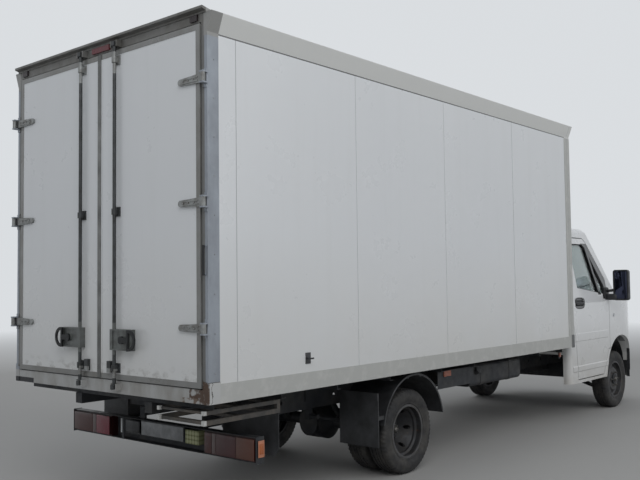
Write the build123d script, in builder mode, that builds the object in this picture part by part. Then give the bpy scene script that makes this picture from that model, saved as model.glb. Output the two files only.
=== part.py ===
"""Refrigerated truck: a lengthened light chassis with a cab, dual rear wheels and an insulated box.

Millimetres. +X is forward, +Y is the driver's left, +Z is up. The origin is on the ground,
in the middle of the truck's overall length. Stations are distances forward of the closed
rear doors' outer face, and place() turns a station into an X coordinate. What belongs to the
cab is given as a distance ahead of the front axle, which ahead() turns into stations.
"""
import os
from math import cos, hypot, radians, sin, sqrt

from build123d import *

os.makedirs("parts", exist_ok=True)

# Layout from rear to front
rear_reach = 60
rear_axle_station = 2305
box_length = 5250
cab_gap = 60
cab_to_axle = 1471
front_overhang = 1030

# Insulated box
box_width = 2200
box_bottom = 838
box_top = 3226
wall = 60
roof_thickness = 78
floor_top = 955
floor_thickness = 105
frame_depth = 100
lower_rail_height = 118
top_rail_height = 118
top_rail_flare = 45
rail_skin = 4
gutter_rise = 36
gutter_reach = 30
seam_stations = (246, 1472, 2697, 3933)
seam_width = 5
seam_depth = 1.5

# Rear doorway and its two doors
door_thickness = 66
door_edge = 1042
sill_height = 86
header_height = 53
door_clearance = 8
door_gap = 6
door_rim = 36
door_rim_proud = 3
door_plug_depth = 34
door_plug_inset = 12
post_gap = 6
post_setback = 6
hinge_axis_y = 1098
hinge_axis_behind = 28
hinge_heights = (1293, 2060, 2820)
lock_rod_y = 200
lock_rod_radius = 12

# Chassis
rail_outer = 430
rail_flange = 65
rail_height = 160
rail_top = 715
rail_thickness = 6
frame_rear = 545
frame_ahead = 699
runner_height = 75
bearer_height = 60
bearer_width = 45
section_thickness = 5
member_roof = rail_top - rail_thickness - section_thickness

# Wheels
tyre_radius = 342
tyre_width = 189
rim_radius = 217
bead_radius = 205
front_wheel_y = 870
rear_outer_wheel_y = 865.5
dual_spacing = 220
kingpin_y = 740

# Cab
cab_half_width = 1034
cab_bottom = 420
belt_height = 1300
roof_height = 2165
roof_half_width = 890
floor_height = 740
cab_door_thickness = 55
cab_door_gap = 10
cab_hinge_y = 1020
cab_hinge_ahead = -367
seat_play = 0.3

half_box = box_width / 2
cab_back = box_length + cab_gap
front_axle_station = cab_back + cab_to_axle
front_end = front_axle_station + front_overhang
overall_length = rear_reach + front_end
tail = rear_reach - overall_length / 2
rear_inner_wheel_y = rear_outer_wheel_y - dual_spacing
rail_bottom = rail_top - rail_height
runner_top = rail_top + runner_height
bearer_top = runner_top + bearer_height
top_rail_bottom = box_top - top_rail_height
gutter_top = box_top + gutter_rise
sill_top = box_bottom + sill_height
header_bottom = box_top - header_height
door_bottom = sill_top + door_clearance
door_top = header_bottom - door_clearance
frame_front = front_axle_station + frame_ahead


def place(station):
    """X coordinate of a station."""
    return tail + station


def ahead(*distances):
    """Stations of distances ahead of the front axle."""
    return tuple(front_axle_station + distance for distance in distances)


def block(x, y, z, mode=Mode.ADD):
    """Box between pairs of stations, Y values and Z values."""
    middle = (place(sum(x) / 2), sum(y) / 2, sum(z) / 2)
    with Locations(middle):
        Box(abs(x[1] - x[0]), abs(y[1] - y[0]), abs(z[1] - z[0]), mode=mode)


def round_bar(start, end, radius, mode=Mode.ADD):
    """Round bar between two points, each a station, a Y value and a Z value."""
    first = Vector(place(start[0]), start[1], start[2])
    run = Vector(place(end[0]), end[1], end[2]) - first
    with Locations(Plane(origin=first, z_dir=run)):
        Cylinder(radius, run.length, align=(Align.CENTER, Align.CENTER, Align.MIN), mode=mode)


def side_view(station=0, y=0, z=0):
    """Sketch plane seen from the right side: its x runs forward and its y runs up."""
    return Plane(origin=(place(station), y, z), x_dir=(1, 0, 0), z_dir=(0, -1, 0))


def cross_section(station, z=0):
    """Sketch plane across the truck: its x runs to the left and its y runs up."""
    return Plane(origin=(place(station), 0, z), x_dir=(0, 1, 0), z_dir=(1, 0, 0))


def rear_view(station=0):
    """Sketch plane seen from ahead that is extruded rearwards: x runs to the right, y runs up."""
    return Plane(origin=(place(station), 0, 0), x_dir=(0, -1, 0), z_dir=(-1, 0, 0))


def save(piece, name):
    """Label a finished piece and write it to its own file."""
    piece.part.label = name
    export_step(piece.part, f"parts/{name}.step")


# Chassis frame: two channel rails joined by channel cross members
cross_member_stations = (560, 1300, 1950, 2700, 3600, 4500, cab_back + 90, *ahead(-881, 639))
cross_member_height = 60
cross_member_width = 60
rail_hole_radius = 16
rail_hole_pitch = 320
rail_hole_count = 20
with BuildPart() as chassis_frame:
    for side in (1, -1):
        with BuildSketch(cross_section(frame_rear)):
            with BuildLine():
                outer = side * rail_outer
                web = side * (rail_outer - rail_thickness)
                lip = side * (rail_outer - rail_flange)
                Polyline(
                    (outer, rail_bottom), (outer, rail_top), (lip, rail_top),
                    (lip, rail_top - rail_thickness), (web, rail_top - rail_thickness),
                    (web, rail_bottom + rail_thickness), (lip, rail_bottom + rail_thickness),
                    (lip, rail_bottom), close=True)
            make_face()
        extrude(amount=frame_front - frame_rear)
    for number in range(rail_hole_count):
        station = frame_rear + rail_hole_pitch * (number + 0.5)
        height = rail_bottom + rail_height / 2
        round_bar((station, -rail_outer - 1, height), (station, rail_outer + 1, height), rail_hole_radius,
                  Mode.SUBTRACT)
    for station in cross_member_stations:
        member_reach = rail_outer - rail_thickness
        block((station, station + cross_member_width), (-member_reach, member_reach),
              (rail_top - cross_member_height, rail_top - rail_thickness))
        block((station + section_thickness, station + cross_member_width - section_thickness),
              (-member_reach + section_thickness, member_reach - section_thickness),
              (rail_top - cross_member_height, member_roof),
              Mode.SUBTRACT)
save(chassis_frame, "chassis_frame")

# Sub-frame of the box: runners on the chassis rails with mounting plates, channel bearers across
# them and side panels below
bearer_stations = (110, 715, 1300, 1950, 2700, 3250, 3900, 4550, box_length - 150)
bearer_reach = 1030
mount_plate_stations = (820, 1620, 2940, 3760, 4680)
mount_plate_length = 90
mount_plate_drop = 100
side_panel_face = 990
side_panels = ((2700, 3295, 150), (box_length - 150, box_length - 105, 70))  # rear, front, depth below
with BuildPart() as box_subframe:
    for side in (1, -1):
        block((frame_depth, box_length - frame_depth),
              (side * (rail_outer - rail_flange), side * (rail_outer + 10)), (rail_top, runner_top))
        for station in mount_plate_stations:
            block((station, station + mount_plate_length), (side * rail_outer, side * (rail_outer + 8)),
                  (rail_top - mount_plate_drop, rail_top + mount_plate_drop / 2))
    for station in bearer_stations:
        block((station, station + bearer_width), (-bearer_reach, bearer_reach), (runner_top, bearer_top))
        block((station + section_thickness, station + bearer_width), (-bearer_reach, bearer_reach),
              (runner_top + section_thickness, bearer_top - section_thickness), Mode.SUBTRACT)
    for side in (1, -1):
        for rear, front, depth in side_panels:
            block((rear, front), (side * (side_panel_face - section_thickness), side * side_panel_face),
                  (runner_top - depth, runner_top))
            block((rear, front), (side * (side_panel_face - 30), side * side_panel_face),
                  (runner_top - section_thickness, runner_top))
save(box_subframe, "box_subframe")

# Insulated panels of the box, with seams between the skins of the side walls
panel_front = box_length - wall
panel_bottom = box_bottom + rail_skin
with BuildPart() as box_floor:
    block((frame_depth, panel_front), (-half_box + wall, half_box - wall),
          (floor_top - floor_thickness, floor_top))
save(box_floor, "box_floor")

for side, side_name in ((1, "left"), (-1, "right")):
    with BuildPart() as box_wall:
        block((frame_depth, panel_front), (side * (half_box - wall), side * half_box),
              (panel_bottom, box_top))
        for station in seam_stations:
            block((station - seam_width / 2, station + seam_width / 2),
                  (side * (half_box - seam_depth), side * half_box),
                  (box_bottom + lower_rail_height, top_rail_bottom), Mode.SUBTRACT)
    save(box_wall, f"box_wall_{side_name}")

with BuildPart() as box_front_wall:
    block((panel_front, box_length), (-half_box, half_box), (panel_bottom, box_top))
save(box_front_wall, "box_front_wall")

with BuildPart() as box_roof:
    block((frame_depth, panel_front), (-half_box + wall, half_box - wall),
          (box_top - roof_thickness, box_top))
save(box_roof, "box_roof")

# Edge rails of the box: skirts below, flared cornices above, and posts with caps on the front corners
post_leg = 120
cap_proud = 3
cap_leg = 66
cap_overlap = 12


def cornice(side):
    """Section of the flared top rail, added to the sketch."""
    wall_face = side * half_box
    flare = side * (half_box + top_rail_flare)
    roof_edge = side * (half_box - 2 * wall)
    with BuildLine() as outline:
        Polyline(
            (wall_face, top_rail_bottom), (flare, box_top), (flare, box_top + rail_skin),
            (roof_edge, box_top + rail_skin), (roof_edge, box_top), (wall_face, box_top), close=True)
    make_face(outline.edges())


with BuildPart() as box_edge_rails:
    for side in (1, -1):
        skin = side * (half_box + rail_skin)
        wall_face = side * half_box
        under_flange = side * (half_box - wall)
        skirt_top = box_bottom + lower_rail_height
        with BuildSketch(cross_section(frame_depth)):
            with BuildLine():
                Polyline(
                    (skin, box_bottom), (skin, skirt_top), (wall_face, skirt_top), (wall_face, panel_bottom),
                    (under_flange, panel_bottom), (under_flange, box_bottom), close=True)
            make_face()
        extrude(amount=box_length - frame_depth)
        with BuildSketch(cross_section(frame_depth)):
            cornice(side)
        extrude(amount=box_length - frame_depth)
        with BuildSketch(Plane.XY.offset(skirt_top)):
            with BuildLine():
                Polyline(
                    (place(box_length - post_leg), wall_face), (place(box_length - post_leg), skin),
                    (place(box_length + rail_skin), skin), (place(box_length + rail_skin), under_flange),
                    (place(box_length), under_flange), (place(box_length), wall_face), close=True)
            make_face()
        extrude(amount=top_rail_bottom - skirt_top)
        cap_face = side * (half_box + rail_skin + cap_proud)
        block((box_length - cap_leg, box_length + rail_skin + cap_proud), (skin, cap_face),
              (box_bottom - cap_proud, skirt_top + cap_overlap))
        block((box_length, box_length + rail_skin + cap_proud), (under_flange, cap_face),
              (box_bottom - cap_proud, skirt_top + cap_overlap))
save(box_edge_rails, "box_edge_rails")

# Rear frame: posts with corner caps, header with a rain gutter, sill, door stop, hinge ears on their
# plates, and the forked keepers of the lock rods
post_inner = door_edge + post_gap
stop_station = door_thickness + 6
stop_inner = 1008
stop_drop = 40
hinge_strap_height = 56
hinge_ear = 9
hinge_play = 0.5
hinge_plate_inner = 1060
hinge_plate_over = 30
keeper_reach = 36
keeper_half = 38
keeper_horn = 12
keeper_height = 44
keeper_lows = (sill_top - 60, header_bottom + 5)
grab_low = 1620
grab_high = 1790
grab_y = 1078
with BuildPart() as rear_frame:
    with BuildSketch(cross_section(post_setback)):
        with Locations((0, (box_bottom + box_top) / 2)):
            Rectangle(box_width, box_top - box_bottom)
        with Locations((0, (sill_top + header_bottom) / 2)):
            Rectangle(2 * post_inner, header_bottom - sill_top, mode=Mode.SUBTRACT)
    extrude(amount=frame_depth - post_setback)
    with BuildSketch(cross_section(stop_station)):
        with Locations((0, (sill_top + header_bottom) / 2)):
            Rectangle(2 * post_inner, header_bottom - sill_top)
        with Locations((0, (floor_top + header_bottom - stop_drop) / 2)):
            Rectangle(2 * stop_inner, header_bottom - stop_drop - floor_top, mode=Mode.SUBTRACT)
    extrude(amount=frame_depth - stop_station)
    with BuildSketch(side_view(y=half_box - 5)):
        with BuildLine():
            Polyline(
                (-gutter_reach, gutter_top - 16), (-gutter_reach, gutter_top),
                (frame_depth, box_top + 12), (frame_depth, box_top), (0, box_top),
                (0, gutter_top - 24), close=True)
        make_face()
    extrude(amount=2 * half_box - 10)
    for side in (1, -1):
        with BuildSketch(cross_section(post_setback)):
            cornice(side)
        extrude(amount=frame_depth - post_setback)
        cap_face = side * (half_box + rail_skin)
        cap_top = box_bottom + lower_rail_height + cap_overlap
        block((post_setback - rail_skin, frame_depth), (side * half_box, cap_face), (box_bottom, cap_top))
        block((post_setback - rail_skin, post_setback), (side * hinge_plate_inner, cap_face),
              (box_bottom, cap_top))
        for height in hinge_heights:
            block((1, post_setback), (side * hinge_plate_inner, side * half_box),
                  (height - hinge_strap_height / 2 - hinge_plate_over,
                   height + hinge_strap_height / 2 + hinge_plate_over))
            for step in (1, -1):
                inner = height + step * (hinge_strap_height / 2 + hinge_play)
                outer_edge = inner + step * hinge_ear
                block((-hinge_axis_behind - 12, post_setback), (side * 1078, side * 1112),
                      (min(inner, outer_edge), max(inner, outer_edge)))
        for low in keeper_lows:
            block((post_setback - rail_skin, post_setback),
                  (side * (lock_rod_y - keeper_half), side * (lock_rod_y + keeper_half)),
                  (low, low + keeper_height))
            for edge in (-keeper_half, keeper_half - keeper_horn):
                block((-keeper_reach, post_setback), (side * (lock_rod_y + edge),
                                                      side * (lock_rod_y + edge + keeper_horn)),
                      (low, low + keeper_height))
    for height in (grab_low, grab_high):
        round_bar((post_setback, -grab_y, height), (-12, -grab_y, height), 7)
    round_bar((-12, -grab_y, grab_low - 7), (-12, -grab_y, grab_high + 7), 7)
save(rear_frame, "rear_frame")

# Rear doors: an insulated leaf with a raised rim and a plug that enters the frame
rod_behind = 26
for side, side_name in ((1, "left"), (-1, "right")):
    with BuildPart() as rear_door:
        block((0, door_thickness - door_plug_depth), (side * door_gap, side * door_edge), (door_bottom, door_top))
        block((door_thickness - door_plug_depth, door_thickness),
              (side * (door_gap + door_plug_inset), side * (door_edge - door_plug_inset)),
              (door_bottom + door_plug_inset, door_top - door_plug_inset))
        with BuildSketch(cross_section(0)):
            with Locations((side * (door_gap + door_edge) / 2, (door_bottom + door_top) / 2)):
                Rectangle(door_edge - door_gap, door_top - door_bottom)
            with Locations((side * (door_gap + door_plug_inset + door_edge - door_rim) / 2,
                            (door_bottom + door_top) / 2)):
                Rectangle(door_edge - door_gap - door_rim - door_plug_inset,
                          door_top - door_bottom - 2 * door_rim, mode=Mode.SUBTRACT)
        extrude(amount=-door_rim_proud)
    save(rear_door, f"rear_door_{side_name}")

# Hinge straps and lock gear of each rear door: ribbed straps, a rod with cams in its guides,
# a handle in its housing and a catch
strap_thickness = 12
strap_reach = 250
strap_tip_half = 20
strap_rib = 4
strap_rib_offset = 11
guide_heights = (1010, 2055, 3090)
guide_half_height = 20
guide_plate = 36
cam_half = 18
cam_height = 28
handle_height = 1200
housing_height = 138
housing_inner = 175
housing_outer = 395
housing_depth = 44
housing_rim = 9
loop_radius = 70
loop_hole = 52
loop_y = 392
catch_low = 975
catch_height = 78


def strap_outline(side, height, shrink=0):
    """Outline of a hinge strap from the hinge axis to its rounded tip, added to the sketch."""
    root = -side * hinge_axis_y
    waist = -side * (hinge_axis_y - 60)
    tip = -side * (hinge_axis_y - strap_reach + strap_tip_half)
    half = hinge_strap_height / 2 - shrink
    tip_half = strap_tip_half - shrink
    with BuildLine() as outline:
        Polyline((tip, height - tip_half), (waist, height - half), (root, height - half),
                 (root, height + half), (waist, height + half), (tip, height + tip_half))
        ThreePointArc((tip, height + tip_half), (tip + side * tip_half, height), (tip, height - tip_half))
    make_face(outline.edges())


for side, side_name in ((1, "left"), (-1, "right")):
    rod = side * lock_rod_y
    with BuildPart() as door_lock:
        rod_low = keeper_lows[0] + 8
        rod_high = keeper_lows[1] + keeper_height - 8
        round_bar((-rod_behind, rod, rod_low), (-rod_behind, rod, rod_high), lock_rod_radius)
        for low in (rod_low, rod_high - cam_height):
            block((-rod_behind - cam_half, -rod_behind + cam_half - 2), (rod - cam_half, rod + cam_half),
                  (low, low + cam_height))
        for height in guide_heights:
            block((-8, 0), (rod - guide_plate, rod + guide_plate),
                  (height - guide_half_height - 12, height + guide_half_height + 12))
            block((-rod_behind, 0), (rod - 19, rod + 19), (height - guide_half_height, height + guide_half_height))
            round_bar((-rod_behind, rod, height - guide_half_height),
                      (-rod_behind, rod, height + guide_half_height), 19)
        housing = (side * housing_inner, side * housing_outer)
        block((-housing_depth, 0), housing, (handle_height - housing_height / 2,
                                             handle_height + housing_height / 2))
        block((-housing_depth, -housing_depth + 8),
              (side * (housing_inner + 3 * housing_rim), side * (housing_outer - housing_rim)),
              (handle_height - housing_height / 2 + housing_rim,
               handle_height + housing_height / 2 - housing_rim), Mode.SUBTRACT)
        with BuildSketch(rear_view(12 - rear_reach)):
            with Locations((-side * loop_y, handle_height)):
                Circle(loop_radius)
                Circle(loop_hole, mode=Mode.SUBTRACT)
            with Locations((-side * (loop_y - loop_radius), handle_height)):
                Rectangle(2 * loop_radius, 2 * loop_radius, mode=Mode.SUBTRACT)
            with Locations((-side * (loop_y - 8), handle_height)):
                Rectangle(16, 2 * loop_radius)
            with Locations((-side * (loop_y - 52), handle_height)):
                Rectangle(104, 36)
        extrude(amount=12)
        round_bar((-housing_depth + 10, side * (loop_y - 80), handle_height),
                  (-rear_reach, side * (loop_y - 80), handle_height), 26)
        block((-24, 0), (side * 112, side * 152), (catch_low, catch_low + catch_height))
        for height in hinge_heights:
            with BuildSketch(rear_view(-door_rim_proud)):
                strap_outline(side, height)
            extrude(amount=strap_thickness)
            for offset_height in (-strap_rib_offset, strap_rib_offset):
                block((-door_rim_proud - strap_thickness - strap_rib, -door_rim_proud - strap_thickness),
                      (side * (hinge_axis_y - 60), side * (hinge_axis_y - strap_reach + 2 * strap_tip_half)),
                      (height + offset_height - 4, height + offset_height + 4))
            round_bar((-hinge_axis_behind, side * hinge_axis_y, height - hinge_strap_height / 2),
                      (-hinge_axis_behind, side * hinge_axis_y, height + hinge_strap_height / 2), 14)
    save(door_lock, f"rear_door_lock_{side_name}")

# Refrigeration unit: a slatted condenser on the front wall and an evaporator with fans under the roof
unit_half_width = 560
unit_bottom = 2420
unit_depth = 420
unit_height = 620
unit_slats = 8
unit_slat_pitch = 34
unit_vent_low = 175
evaporator_half = 450
evaporator_depth = 420
evaporator_height = 198
fan_radius = 82
fan_spacing = 290
fan_blades = 5
unit_front = box_length + unit_depth
with BuildPart() as refrigeration_unit:
    with BuildSketch(side_view(y=unit_half_width)):
        with BuildLine():
            Polyline(
                (box_length, unit_bottom), (unit_front - 120, unit_bottom), (unit_front, unit_bottom + 140),
                (unit_front, unit_bottom + unit_height - 180), (unit_front - 90, unit_bottom + unit_height - 30),
                (box_length, unit_bottom + unit_height), close=True)
        make_face()
    extrude(amount=2 * unit_half_width)
    fillet(refrigeration_unit.edges().filter_by(Axis.Y).group_by(Axis.X)[-1], 40)
    for number in range(unit_slats):
        low = unit_bottom + unit_vent_low + number * unit_slat_pitch
        block((unit_front - 14, unit_front), (-unit_half_width + 70, unit_half_width - 70),
              (low, low + unit_slat_pitch - 12), Mode.SUBTRACT)
    for side in (1, -1):
        for number in range(unit_slats):
            station = box_length + 60 + number * unit_slat_pitch
            block((station, station + unit_slat_pitch - 14),
                  (side * (unit_half_width - 10), side * unit_half_width),
                  (unit_bottom + 200, unit_bottom + 440), Mode.SUBTRACT)
    block((panel_front - evaporator_depth, panel_front), (-evaporator_half, evaporator_half),
          (box_top - roof_thickness - evaporator_height, box_top - roof_thickness))
    for number in (-1, 0, 1):
        fan = (panel_front - evaporator_depth, number * fan_spacing,
               box_top - roof_thickness - evaporator_height / 2)
        round_bar(fan, (fan[0] + 40, *fan[1:]), fan_radius, Mode.SUBTRACT)
        round_bar((fan[0] + 8, *fan[1:]), (fan[0] + 40, *fan[1:]), 22)
        for blade in range(fan_blades):
            angle = radians(360 / fan_blades * blade)
            with BuildSketch(Plane(origin=(place(fan[0]) + 24, fan[1], fan[2]),
                                   x_dir=(0.35, -0.94 * sin(angle), 0.94 * cos(angle)),
                                   z_dir=(0, cos(angle), sin(angle)))):
                Rectangle(44, 3)
            extrude(amount=fan_radius - 5)
save(refrigeration_unit, "refrigeration_unit")

# Rear lamp bar: a channel open to the rear on two hangers, with end frames and a light bracket
lamp_bar_rear = 475
lamp_bar_front = 540
lamp_bar_reach = 1035
lamp_bar_bottom = 405
lamp_bar_top = 569
lamp_bar_sheet = 4
hanger_y = 380
hanger_width = 40
with BuildPart() as lamp_bar:
    with BuildSketch(side_view(y=lamp_bar_reach)):
        with BuildLine():
            Polyline(
                (lamp_bar_rear, lamp_bar_bottom), (lamp_bar_front, lamp_bar_bottom),
                (lamp_bar_front, lamp_bar_top), (lamp_bar_rear, lamp_bar_top),
                (lamp_bar_rear, lamp_bar_top - lamp_bar_sheet),
                (lamp_bar_front - lamp_bar_sheet, lamp_bar_top - lamp_bar_sheet),
                (lamp_bar_front - lamp_bar_sheet, lamp_bar_bottom + lamp_bar_sheet),
                (lamp_bar_rear, lamp_bar_bottom + lamp_bar_sheet), close=True)
        make_face()
    extrude(amount=2 * lamp_bar_reach)
    for side in (1, -1):
        block((lamp_bar_front, lamp_bar_front + 60), (side * hanger_y, side * (hanger_y + hanger_width)),
              (lamp_bar_bottom + 20, rail_bottom))
        block((lamp_bar_rear - 8, lamp_bar_front), (side * (lamp_bar_reach - 5), side * lamp_bar_reach),
              (lamp_bar_bottom - 6, lamp_bar_top + 4))
    block((lamp_bar_rear - 3, lamp_bar_rear), (373, 400), (lamp_bar_bottom, lamp_bar_top))
    block((lamp_bar_front - 20, lamp_bar_front), (185, 240), (lamp_bar_top, rail_bottom + 100))
    block((lamp_bar_front, frame_rear), (185, 240), (rail_bottom + 60, rail_bottom + 100))
save(lamp_bar, "rear_lamp_bar")

# Mudguards over the dual wheels with a rolled lip and a flap behind each, and splash plates ahead
# of the lamp bar
arch_station = 2347
arch_height = 375
arch_radius = 435
arch_skin = 6
arch_lip = 16
arch_inner_y = 560
arch_outer_y = 992
arch_sweep = radians(9)
flap_station = 1850
flap_inner_y = 600
flap_outer_y = 985
flap_bar_bite = 19
bracket_radius = 10
splash_station = 725
splash_inner_y = 445
splash_corner = 45


def arch_band(inner_radius):
    """Band of a mudguard's arch from its outer radius to an inner one, added to the sketch."""
    with BuildLine() as outline:
        for radius in (arch_radius, inner_radius):
            ThreePointArc((-radius * cos(arch_sweep), radius * sin(arch_sweep)), (0, radius),
                          (radius * cos(arch_sweep), radius * sin(arch_sweep)))
        for way in (-1, 1):
            Line((way * arch_radius * cos(arch_sweep), arch_radius * sin(arch_sweep)),
                 (way * inner_radius * cos(arch_sweep), inner_radius * sin(arch_sweep)))
    make_face(outline.edges())


with BuildPart() as mudguards:
    for side in (1, -1):
        left_face = arch_outer_y if side > 0 else -arch_inner_y
        with BuildSketch(side_view(arch_station, left_face, arch_height)):
            arch_band(arch_radius - arch_skin)
        extrude(amount=arch_outer_y - arch_inner_y)
        lip_face = arch_outer_y if side > 0 else section_thickness - arch_outer_y
        with BuildSketch(side_view(arch_station, lip_face, arch_height)):
            arch_band(arch_radius - arch_lip)
        extrude(amount=section_thickness)
        flap = (side * flap_inner_y, side * flap_outer_y)
        block((flap_station, flap_station + 8), flap, (280, 700))
        block((flap_station - 5, flap_station), flap, (640, 700))
        block((flap_station, arch_station - arch_radius + flap_bar_bite), flap, (490, 520))
        for step in (-90, 90):
            round_bar((arch_station + step, side * (rail_outer + 10), runner_top - 5),
                      (arch_station + step, side * arch_outer_y, runner_top - 5), bracket_radius)
        with BuildSketch(cross_section(splash_station)):
            with BuildLine():
                Polyline(
                    (side * splash_inner_y, 400), (side * (side_panel_face - splash_corner), 400),
                    (side * side_panel_face, 400 + splash_corner), (side * side_panel_face, runner_top),
                    (side * splash_inner_y, runner_top), close=True)
            make_face()
        extrude(amount=section_thickness)
save(mudguards, "rear_mudguards")

# Pull-out step ladder stowed under the rear right corner
ladder_inner = 580
ladder_outer = 1030
ladder_tube = 25
ladder_rear = 30
ladder_front = 700
lower_flight = (702, 732)
upper_flight = (765, runner_top)
with BuildPart() as ladder:
    for low, high in (upper_flight, lower_flight):
        for y in (-ladder_outer, -ladder_inner - ladder_tube):
            block((ladder_rear, ladder_front), (y, y + ladder_tube), (low, high))
        for station in (45, 340, 620):
            block((station, station + 35), (-ladder_outer, -ladder_inner), (low + 5, high - 5))
    for y in (-ladder_outer, -ladder_inner - ladder_tube):
        block((ladder_front - 30, ladder_front), (y, y + ladder_tube), (lower_flight[0], runner_top))
save(ladder, "step_ladder")

# Fuel tank with its straps and filler
tank_rear = 3330
tank_length = 1000
tank_inner = 500
tank_outer = 930
tank_bottom = 590
tank_corner = 40
strap_width = 50
strap_proud = 3
with BuildPart() as fuel_tank:
    block((tank_rear, tank_rear + tank_length), (-tank_outer, -tank_inner), (tank_bottom, runner_top))
    fillet(fuel_tank.edges().filter_by(Axis.X), tank_corner)
    fillet(fuel_tank.faces().filter_by(Axis.X).edges(), 12)
    for share in (0.22, 0.78):
        strap_rear = tank_rear + share * tank_length - strap_width / 2
        with BuildSketch(cross_section(strap_rear)):
            with Locations((-(tank_inner + tank_outer) / 2, (tank_bottom + runner_top - strap_proud) / 2)):
                RectangleRounded(tank_outer - tank_inner + 2 * strap_proud,
                                 runner_top - tank_bottom + strap_proud, tank_corner)
        extrude(amount=strap_width)
    filler = (tank_rear + 120, -tank_outer + 10, tank_bottom + 130)
    round_bar(filler, (filler[0], filler[1] - 40, filler[2] + 20), 30)
save(fuel_tank, "fuel_tank")

# Driven rear axle on its leaf springs, with a seat for the wheels' discs at each end
drum_radius = 130
axle_radius = 52
spring_y = 470
spring_width = 65
spring_radius = 2781
spring_seat = tyre_radius + axle_radius - 4
leaf_thickness = 8
leaf_half_lengths = (620, 560, 450, 330, 210)
disc_seat = 742
disc_thickness = 8
disc_end = disc_seat + 2 * disc_thickness + 14
pilot_radius = 61.5
hub_flange_radius = 85
rear_hub_radius = 48
rear_hub_end = disc_end + 42
damper_y = 325
spring_bottom = spring_seat
spring_top = spring_seat + leaf_thickness * len(leaf_half_lengths)


def leaf_height(distance, level):
    """Height of the underside of a curved spring leaf at a distance from the axle."""
    return spring_bottom + level * leaf_thickness + spring_radius - sqrt(spring_radius ** 2 - distance ** 2)


with BuildPart() as rear_axle:
    with BuildSketch(cross_section(rear_axle_station, tyre_radius)):
        with BuildLine():
            Polyline(
                (-rear_hub_end, 0), (-rear_hub_end, rear_hub_radius), (-disc_end, rear_hub_radius),
                (-disc_end, pilot_radius), (seat_play - disc_seat, pilot_radius),
                (seat_play - disc_seat, hub_flange_radius), (-720, hub_flange_radius), (-720, 60),
                (-690, 60), (-690, drum_radius), (-600, drum_radius), (-600, drum_radius + 6),
                (-590, drum_radius + 6), (-590, axle_radius), (-190, axle_radius), (-110, 150), (110, 150),
                (190, axle_radius), (590, axle_radius), (590, drum_radius + 6), (600, drum_radius + 6),
                (600, drum_radius), (690, drum_radius), (690, 60), (720, 60), (720, hub_flange_radius),
                (disc_seat - seat_play, hub_flange_radius), (disc_seat - seat_play, pilot_radius),
                (disc_end, pilot_radius), (disc_end, rear_hub_radius), (rear_hub_end, rear_hub_radius),
                (rear_hub_end, 0), close=True)
        make_face()
    revolve(axis=Axis((place(rear_axle_station), 0, tyre_radius), (0, 1, 0)))
    round_bar((rear_axle_station - 158, 0, tyre_radius), (rear_axle_station, 0, tyre_radius), 105)
    for side in (1, -1):
        for level, half_length in enumerate(reversed(leaf_half_lengths)):
            with BuildSketch(side_view(rear_axle_station, side * spring_y + spring_width / 2)):
                with BuildLine():
                    for thickness_level in (level, level + 1):
                        ThreePointArc((-half_length, leaf_height(half_length, thickness_level)),
                                      (0, leaf_height(0, thickness_level)),
                                      (half_length, leaf_height(half_length, thickness_level)))
                    for way in (-1, 1):
                        Line((way * half_length, leaf_height(half_length, level)),
                             (way * half_length, leaf_height(half_length, level + 1)))
                make_face()
            extrude(amount=spring_width)
        for step in (-620, 620):
            eye = leaf_height(620, len(leaf_half_lengths)) - leaf_thickness / 2
            round_bar((rear_axle_station + step, side * (spring_y - 42), eye),
                      (rear_axle_station + step, side * (spring_y + 42), eye), 18)
            block((rear_axle_station + step - 24, rear_axle_station + step + 24),
                  (side * (spring_y - 80), side * (spring_y - 36)), (470, rail_bottom))
        block((rear_axle_station - 70, rear_axle_station + 70),
              (side * (spring_y - 46), side * (spring_y + 46)), (spring_bottom - 60, spring_bottom - 36))
        for step in (-55, 55):
            for offset_y in (-39, 39):
                round_bar((rear_axle_station + step, side * (spring_y + offset_y), spring_bottom - 60),
                          (rear_axle_station + step, side * (spring_y + offset_y), spring_top + 16), 8)
        block((rear_axle_station - 66, rear_axle_station + 66),
              (side * (spring_y - 46), side * (spring_y + 46)), (spring_top, spring_top + 12))
        round_bar((rear_axle_station - 40, side * damper_y, tyre_radius - 10),
                  (rear_axle_station - 270, side * damper_y, rail_bottom + 60), 24)
        round_bar((rear_axle_station - 270, side * damper_y, rail_bottom + 60),
                  (rear_axle_station - 270, side * (rail_outer - rail_thickness), rail_bottom + 60), 10)
save(rear_axle, "rear_axle")

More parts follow.
